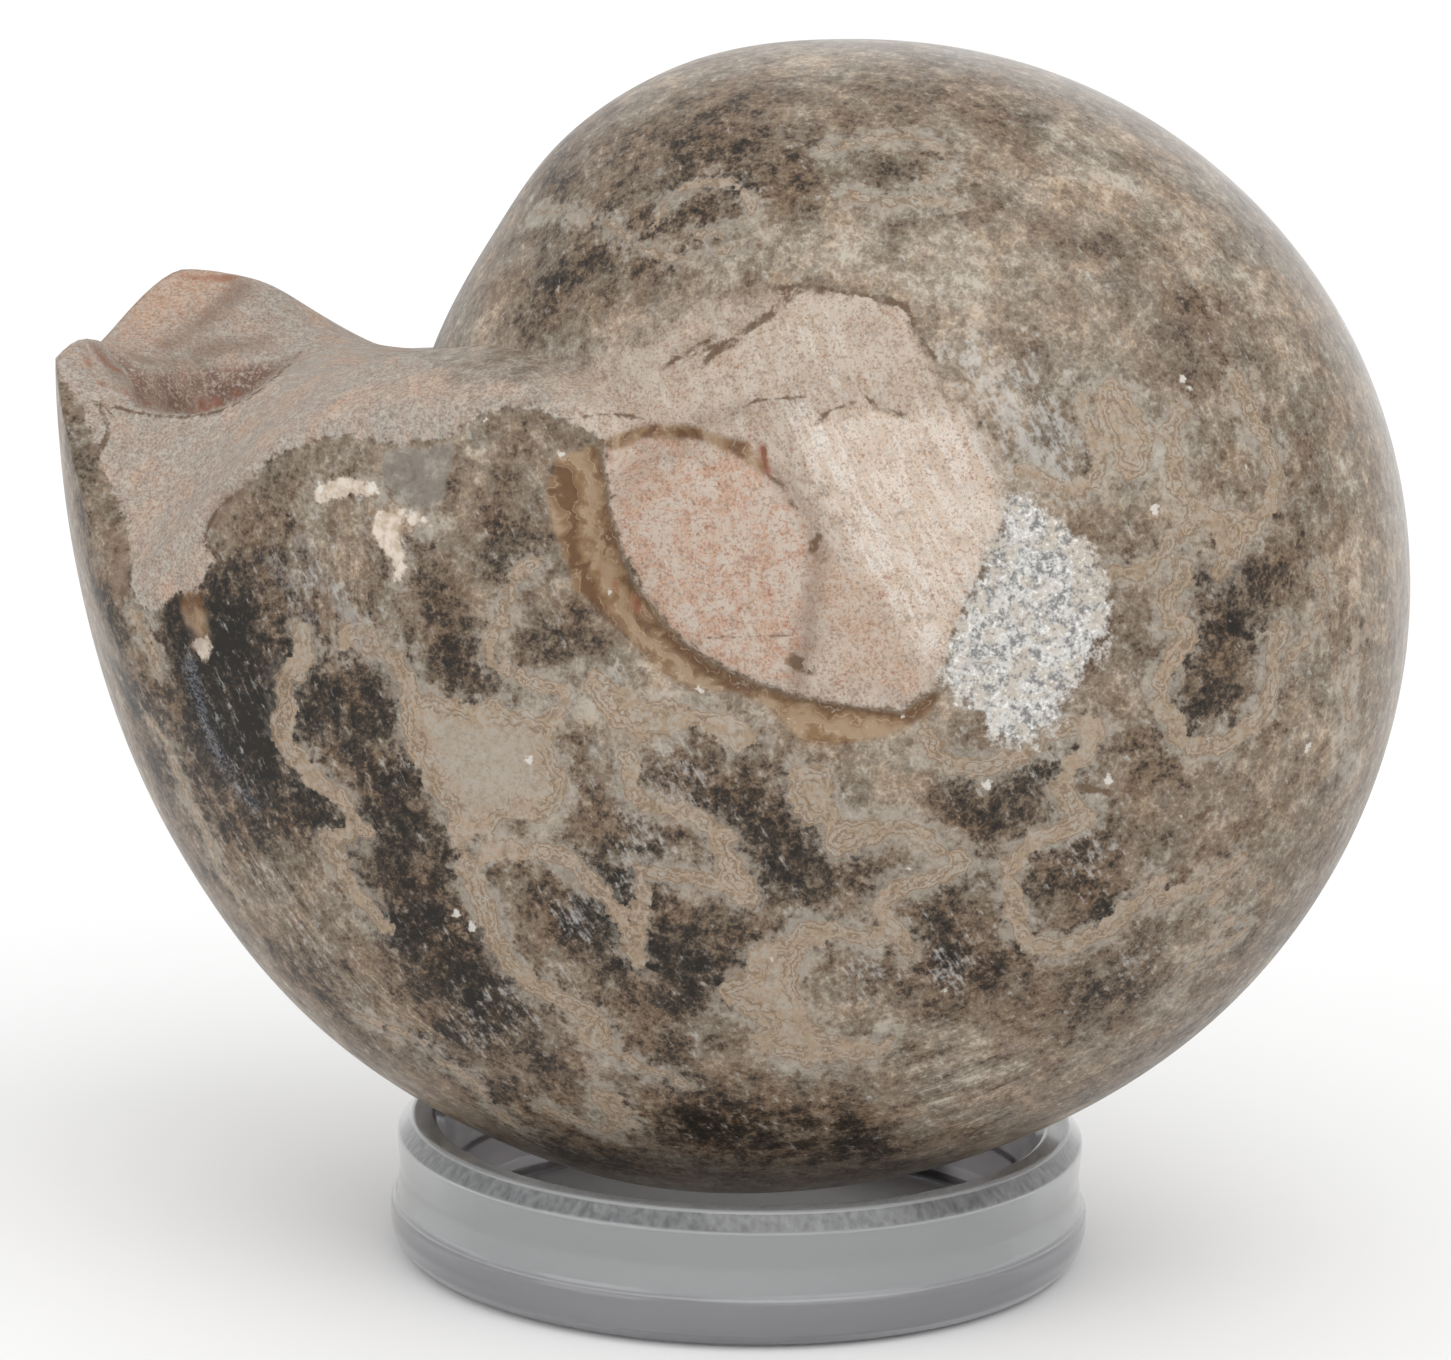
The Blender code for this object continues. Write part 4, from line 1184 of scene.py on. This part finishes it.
def flecks_of(tree, place, spots):
    """Distance in mm inside the nearest white fleck, painted glints among them."""
    inside = None
    for centre, radius in spots:
        gap = node(tree, "ShaderNodeVectorMath", {"operation": "DISTANCE"}, (place, centre),
                   output="Value")
        spot = radius - gap
        inside = spot if inside is None else inside.math("MAXIMUM", spot)
    return inside


def stone_fields(tree, place, axes, spots):
    """The noises, marks and distances that the stone's masks are made of."""
    fields = Fields(tree, place)
    fields["streaks"] = streaks(tree, *axes)
    fields["glints"] = stretched(tree, *axes, GLINT_STRETCH)
    fields["scratches"] = stretched(tree, *axes, SCRATCH_STRETCH)
    fields["flecks"] = flecks_of(tree, place, spots)
    fields["crack_inside"] = fields["crack_width"] * CRACK_THINNING - abs(fields["crack_side"])
    fields["amber_layer"] = fields["rock"] * AMBER_LAYERS
    layer = fields.bent("amber_layer", AMBER_BENDS)
    fields["amber_fold"] = layer.math("PINGPONG", 1.0)
    fields["amber_crease"] = (layer * CREASES).math("PINGPONG", CREASE_FOLD)
    return fields


def shell_colour(tree, place, fields):
    """Mottled brown shell with a pale web between its grains, streaks, dust and glints."""
    web = grains(tree, place, fields["clump"])
    streak = fields["streaks"]
    level = SHELL_LEVEL + fields["tone"] * TONE_SHIFT
    for name, shift in SHELL_SHIFTS.items():
        level = level + fields[name].swing(shift)
    level = level + (web - WEB_MIDDLE) * WEB_SHIFT + streak.swing(STREAK_SHIFT)
    level = level + fields.mask("streaky") * (streak.swing(STREAKY_SHIFT) + STREAKY_LIFT)
    shell = node(tree, "ShaderNodeValToRGB", {"stops": SHELL_STOPS}, {"Fac": level})
    shell = mix(fields.mask("warm_shell"), shell, WARM_TINT, "MULTIPLY")
    shell = mix(fields.mask("cool_shell"), shell, COOL_TINT, "MULTIPLY")
    shell = mix(fields.mask("dusty"), shell, DUST_WHITE)
    glint = fields.mask("glinting") * fields.mask("glint_patches")
    return mix(glint * fields.mask("glint_ground").span(*GLINT_SHARES), shell, GLINT_GREY)


def add_sutures(shell, fields):
    """Lay the tan suture bands, their fine lines and their chalky halo over the shell."""
    band = fields.bent("band", BAND_BENDS)
    suture = mix(fields.mask("pink_suture"), SUTURE_TAN, SUTURE_PINK)
    suture = mix(fields.mask("chalky_suture"), suture, CHALK)
    contour = 1.0 - abs(fields["vein"] - NOISE_MIDDLE).step(*CONTOUR_WIDTH)
    suture = mix(contour * band.step(*CONTOUR_EDGE) * CONTOUR_SHARE, suture, SUTURE_LINE)
    for at, width in SUTURE_LINES:
        line = 1.0 - abs(band - at).step(LINE_CORE, width)
        suture = mix(line * fields.mask("line_patches"), suture, SUTURE_LINE)
    suture = mix(band.step(*CORE_EDGE) * CORE_SHARE, suture, CHALK)
    suture = mix(fields.mask("gritty_suture"), suture, GREY_BROWN)
    halo = fields.mask("halo") * fields.mask("halo_ground").span(*HALO_SHARES)
    kept = 1.0 - fields.mask("suture_gaps")
    return mix(band.step(*SUTURE_EDGE) * kept * SUTURE_SHARE, mix(halo, shell, CHALK), suture)


def rock_colour(fields):
    """Rock in the mouth and the navel: pinkish ground, facets, hollow, scratches and specks."""
    plug = fields.mask("plug")
    ground = mix(fields.mask("grey_rock"), ROCK_PINK, ROCK_GREY)
    ground = mix(fields.mask("orange_rock"), ground, ROCK_ORANGE)
    ground = mix(plug * PLUG_SHARE, ground, mix(fields.mask("beige_plug"), PLUG_TAN, PLUG_BEIGE))
    pink = mix(fields.mask("pale_facet"), FACET_PINK, FACET_PALE)
    pink = mix(fields.mask("orange_facet"), pink, ROCK_ORANGE)
    ground = mix(fields.mask("pink_facet"), ground, pink)
    cream = mix(fields.mask("pale_cream"), CREAM_TAN, CREAM)
    ground = mix(fields.mask("cream_facet"), ground, cream)
    ground = mix(fields.mask("hump"), ground, mix(fields.mask("pink_hump"), HUMP_ORANGE, ROCK_PINK))
    hollow = mix(fields.mask("pink_hollow"), HOLLOW_RED, HOLLOW_PINK)
    ground = mix(fields.mask("hollow"), ground, hollow)
    ground = mix(fields.mask("warm_rock"), ground, WARM_ROCK)
    # Painted highlight along the cream facet's ridge; the same white also marks the real scratches below.
    ground = mix(fields.mask("ridge"), ground, SCRATCH_AND_HIGHLIGHT_WHITE)
    ground = mix(fields.mask("scratched") * plug.span(*SCRATCH_SHARES), ground, SCRATCH_AND_HIGHLIGHT_WHITE)
    for name, colour in ROCK_GRAINS:
        ground = mix(fields.mask(name), ground, colour)
    ground = mix(fields.mask("red_specks") * plug.span(*SPECK_SHARES), ground, RUST_RED)
    return mix(fields.mask("dark_specks"), ground, ROCK_DARK)


def amber_colour(fields):
    """Layered brown resin with thin pale creases."""
    resin = mix(fields.mask("amber_middle"), AMBER_DARK, AMBER_MID)
    resin = mix(fields.mask("pale_amber"), resin, AMBER_PALE)
    return mix(fields.mask("amber_line") * fields.mask("amber_patches"), resin, AMBER_LINE)


def crystal_colour(fields, spar):
    """White crystals with grey gaps and sparkling grains."""
    crystals = mix(fields.mask("tan_crystal"), CRYSTAL_WHITE, CRYSTAL_TAN)
    crystals = mix(spar, CRYSTAL_GREY, crystals)
    return mix(fields.mask("sparkle"), crystals, SPARKLE)


def shelf_colour(fields):
    """Grey shelf beside the mouth, with chalky and dark grains."""
    slate = mix(fields.mask("chalky_shelf"), SHELF_GREY, CHALK)
    return mix(fields.mask("dark_shelf"), slate, ROCK_DARK)


def rock_share(fields):
    """Where the rock is, and where its edge fades into the shell."""
    fade = fields.mask("fade")
    rock = fields.bent("rock", ROCK_BENDS) + fields["patch"].swing(FADE_BEND) * fade
    return rock.math("DIVIDE", 1.0 + fade * FADE_SOFTNESS).step(*ROCK_EDGE), fade


def polish_with_painted_sheen(tree, shader, axes, rock):
    """Clear coat of the polished shell, with a painted sheen added at its upper right rim, where the light
    falls.
    """
    rim = node(tree, "ShaderNodeLayerWeight", inputs={"Blend": RIM_BLEND}, output="Facing")
    upper = axes[2].step(*SHEEN_HEIGHT) * axes[0].step(*SHEEN_SIDE)
    sheen = POLISH + upper * rim.step(*RIM_EDGE) * UPPER_RIM_SHEEN
    feed((1.0 - rock) * sheen, shader, "Coat Weight")
    shader.inputs["Coat Roughness"].default_value = POLISH_ROUGHNESS
    shader.inputs["Specular IOR Level"].default_value = STONE_SPECULAR


def make_stone(spots):
    """Polished fossil stone with rock in its mouth and navel."""
    material, tree, shader = new_material("fossil_stone")
    place = place_in_mm(tree)
    axes = split(tree, place)
    fields = stone_fields(tree, place, axes, spots)
    rock, fade = rock_share(fields)
    amber = fields.mask("amber")
    crystal = fields.mask("crystal")
    spar = fields.mask("spar")
    crack = fields.mask("crack") * fields.mask("crack_ends") * fields.mask("crack_patches")
    layers = (
        (rock * (1.0 - fade * FADE_LOSS), rock_colour(fields)),
        (fields.mask("shelf"), shelf_colour(fields)),
        (amber * AMBER_SHARE, amber_colour(fields)),
        (crystal * CRYSTAL_SHARE, crystal_colour(fields, spar)),
        (fields.mask("flake"), mix(fields.mask("cream_flake"), FLAKE_CREAM, CREAM)),
        # Bluish streaks, the first of them a painted reflection.
        (fields.mask("bluish") * fields.mask("bluish_grain"), BLUE_GREY),
        (fields.mask("shade"), SHADE_BROWN),
        # Dark cracks, and the painted shadow line along the mouth's hollow.
        (crack * CRACK_SHARE, CRACK_AND_SHADOW_BROWN),
        (fields.mask("rust"), RUST_RED),
        # White flecks and chips, with a few painted glints.
        (fields.mask("fleck"), FLECK_AND_GLINT_WHITE),
    )
    colour = add_sutures(shell_colour(tree, place, fields), fields)
    for share, fresh in layers:
        colour = mix(share, colour, fresh)
    feed(colour, shader, "Base Color")
    grain, clump, patch = (fields[name] for name in ("grain", "clump", "patch"))
    rough = STONE_ROUGHNESS + grain.swing(GRAIN_ROUGHNESS) + rock * ROCK_ROUGHNESS
    rough = rough - amber * AMBER_SMOOTHNESS - crystal * CRYSTAL_SMOOTHNESS
    feed(rough, shader, "Roughness")
    relief = grain * rock.span(*GRAIN_RELIEF) + rock * (clump * CLUMP_RELIEF + patch * PATCH_RELIEF)
    relief = relief + crystal * spar * SPAR_RELIEF - crack * CRACK_RELIEF + patch * SHELL_RELIEF
    bump = node(tree, "ShaderNodeBump", inputs={"Strength": BUMP_STRENGTH, "Distance": BUMP_DISTANCE,
                                                "Height": relief})
    feed(bump, shader, "Normal")
    polish_with_painted_sheen(tree, shader, axes, rock)
    return material


def make_fossil():
    """The fossil's polished surface over its solid."""
    mesh, places, mouth = make_fossil_mesh()
    spots = mark_fossil(mesh, places, mouth)
    fossil = bpy.data.objects.new("fossil", mesh)
    bpy.context.scene.collection.objects.link(fossil)
    mesh.materials.append(make_stone(spots))
    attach(fossil, "root")
    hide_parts("ammonite")


# Clear acrylic: what its shader says, its surface's smears, and its colours, among them painted shade,
# shadow, reflection and highlights.
ACRYLIC = {"Transmission Weight": 0.68, "IOR": 1.49, "Coat Weight": 0.6, "Coat Roughness": 0.06}
SMEARS = (0.25, 4.0, 0.55, 0.0)
SMEAR_ROUGHNESS = (0.15, 0.21)
RING_CLEAR = (0.60, 0.62, 0.625)
RING_FOOT = (0.405, 0.405, 0.435)
RING_BEVEL_REFLECTION = (0.15, 0.15, 0.157)
RING_BORE_SHADE = (0.42, 0.42, 0.43)
RING_FAR_BORE_SHADE = (0.36, 0.325, 0.330)
RING_SHADOW = (0.02, 0.018, 0.018)
RING_HIGHLIGHT = (0.88, 0.89, 0.90)

# Where the ring's colours change, in mm: heights, distance from its axis, and places on X and Y.
FOOT_EDGE = (4.1, 3.7)
BEVEL_LOW_EDGE = (8.6, 8.8)
BEVEL_HIGH_EDGE = (9.95, 9.75)
BEVEL_REFLECTION_STREAKS = (1.6, 3.0, 0.6, 0.0)
BEVEL_REFLECTION_SHARE = 0.72
BEVEL_REFLECTION_SWING = 1.6
RING_HIGHLIGHT_LINES = ((9.84, 0.12), (8.58, 0.10), (3.78, 0.10))
RING_HIGHLIGHT_CORE = 0.4
RING_HIGHLIGHT_SHARE = 0.6
BORE_EDGE = (22.0, 21.6)
FAR_SIDE = (-12.0, -6.0)
SHADOW_SIDE = (13.5, 11.0)


def make_acrylic():
    """Clear acrylic with a faint grey body and a hazy, handled surface; painted shade and shadow in its
    bore, a painted reflection on its bevel and painted highlights along its edges.
    """
    material, tree, shader = new_material("clear_acrylic")
    for socket, value in ACRYLIC.items():
        shader.inputs[socket].default_value = value
    place = place_in_mm(tree)
    feed(noise(tree, place, *SMEARS).span(*SMEAR_ROUGHNESS), shader, "Roughness")
    x, y, z = split(tree, place)
    off_axis = x + RING_BEHIND_COIL / MM
    radius = (off_axis * off_axis + y * y).math("SQRT")
    height = z + COIL_HEIGHT / MM
    tint = mix(height.step(*FOOT_EDGE), RING_CLEAR, RING_FOOT)
    # Painted reflection of the fossil on the bevel: a dark, streaky band.
    bevel = height.step(*BEVEL_LOW_EDGE) * height.step(*BEVEL_HIGH_EDGE)
    streak = noise(tree, joined(tree, x, y, 0.0), *BEVEL_REFLECTION_STREAKS)
    tint = mix(bevel * (BEVEL_REFLECTION_SHARE + streak.swing(BEVEL_REFLECTION_SWING)), tint, RING_BEVEL_REFLECTION)
    # Painted highlights along the ring's edges.
    for at, width in RING_HIGHLIGHT_LINES:
        line = abs(height - at).step(width, RING_HIGHLIGHT_CORE * width)
        tint = mix(line * RING_HIGHLIGHT_SHARE, tint, RING_HIGHLIGHT)
    # Painted shade over the bore, deeper on its far side, and a painted shadow in the middle of the far
    # side under the fossil.
    bore = radius.step(*BORE_EDGE)
    tint = mix(bore, tint, RING_BORE_SHADE)
    behind = mix(abs(off_axis).step(*SHADOW_SIDE), RING_FAR_BORE_SHADE, RING_SHADOW)
    feed(mix(bore * y.step(*FAR_SIDE), tint, behind), shader, "Base Color")
    return material


# Ring stand's outline in mm: outside from the lip down, and inside up the bore.
RING_OUTLINE = ((22.35, 9.9), (23.9, 10.0), (25.0, 8.7), (24.75, 6.0), (25.0, 4.0), (25.4, 3.6),
                (25.4, 2.2), (25.1, 1.1), (24.4, 0.35), (23.5, 0.0), (22.0, 0.0), (21.4, 0.6),
                (21.4, 8.9))
RING_COLUMNS = 160
RING_EDGE = 0.25 * MM
RING_EDGE_STEPS = 3
RING_EDGE_ANGLE = 12.0


def make_ring():
    """The clear ring, spun from its outline with softened edges."""
    ring = bmesh.new()
    corners = [ring.verts.new((RING_CENTRE.x + r * MM, RING_CENTRE.y, z * MM))
               for r, z in RING_OUTLINE]
    edges = [ring.edges.new(pair) for pair in zip(corners, corners[1:] + corners[:1])]
    bmesh.ops.spin(ring, geom=corners + edges, cent=(RING_CENTRE.x, RING_CENTRE.y, 0.0),
                   axis=(0.0, 0.0, 1.0), angle=math.tau, steps=RING_COLUMNS, use_merge=True)
    bmesh.ops.recalc_face_normals(ring, faces=ring.faces[:])
    mesh = bpy.data.meshes.new("ring")
    ring.to_mesh(mesh)
    ring.free()
    mesh.polygons.foreach_set("use_smooth", [True] * len(mesh.polygons))
    item = bpy.data.objects.new("ring", mesh)
    bpy.context.scene.collection.objects.link(item)
    bevel = item.modifiers.new("soft_edges", "BEVEL")
    bevel.width = RING_EDGE
    bevel.segments = RING_EDGE_STEPS
    bevel.limit_method = "ANGLE"
    bevel.angle_limit = math.radians(RING_EDGE_ANGLE)
    bevel.harden_normals = True
    mesh.materials.append(make_acrylic())
    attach(item, "root")
    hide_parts("ring_stand")


# Stage: the floor's half width in m, its grey and roughness, and the lights and surroundings.
FLOOR_SIZE = 4.0
FLOOR_GREY = (0.90, 0.90, 0.90)
FLOOR_ROUGHNESS = 0.9
LIGHT_TARGET = Vector((0.0, 0.0, 0.045))
KEY_PLACE = (0.40, -0.35, 0.70)
KEY_STRENGTH = 0.85
KEY_ANGLE = 60.0
FILL_PLACE = (-0.5, -0.7, 0.35)
FILL_WATTS = 1.2
FILL_SIZE = 0.6
SURROUNDINGS = 0.94


def plain_material(name, colour, roughness):
    """One flat finish for the stage."""
    material, _, shader = new_material(name)
    shader.inputs["Base Color"].default_value = (*colour, 1.0)
    shader.inputs["Roughness"].default_value = roughness
    return material


def add_stage():
    """Plain pale floor."""
    grid = bmesh.new()
    bmesh.ops.create_grid(grid, x_segments=1, y_segments=1, size=FLOOR_SIZE)
    mesh = bpy.data.meshes.new("floor")
    grid.to_mesh(mesh)
    grid.free()
    floor = bpy.data.objects.new("floor", mesh)
    bpy.context.scene.collection.objects.link(floor)
    mesh.materials.append(plain_material("floor", FLOOR_GREY, FLOOR_ROUGHNESS))


def add_light(name, kind, place, watts, settings):
    """Light that faces the object."""
    data = bpy.data.lights.new(name, kind)
    data.energy = watts
    for setting, value in settings.items():
        setattr(data, setting, value)
    lamp = bpy.data.objects.new(name, data)
    bpy.context.scene.collection.objects.link(lamp)
    facing = (Vector(place) - LIGHT_TARGET).to_track_quat("Z", "Y").to_matrix().to_4x4()
    lamp.matrix_world = Matrix.Translation(Vector(place)) @ facing


def add_lights():
    """Soft studio light: a broad one above to the right, a weak one in front, white surroundings."""
    add_light("key", "SUN", KEY_PLACE, KEY_STRENGTH, {"angle": math.radians(KEY_ANGLE)})
    add_light("fill", "AREA", FILL_PLACE, FILL_WATTS, {"shape": "SQUARE", "size": FILL_SIZE})
    world = bpy.data.worlds.new("studio")
    bpy.context.scene.world = world
    world.use_nodes = True
    background = world.node_tree.nodes["Background"]
    background.inputs["Color"].default_value = (1.0, 1.0, 1.0, 1.0)
    background.inputs["Strength"].default_value = SURROUNDINGS
    bpy.context.scene.view_settings.view_transform = "Standard"


add_camera()
add_lights()
add_stage()
make_fossil()
make_ring()
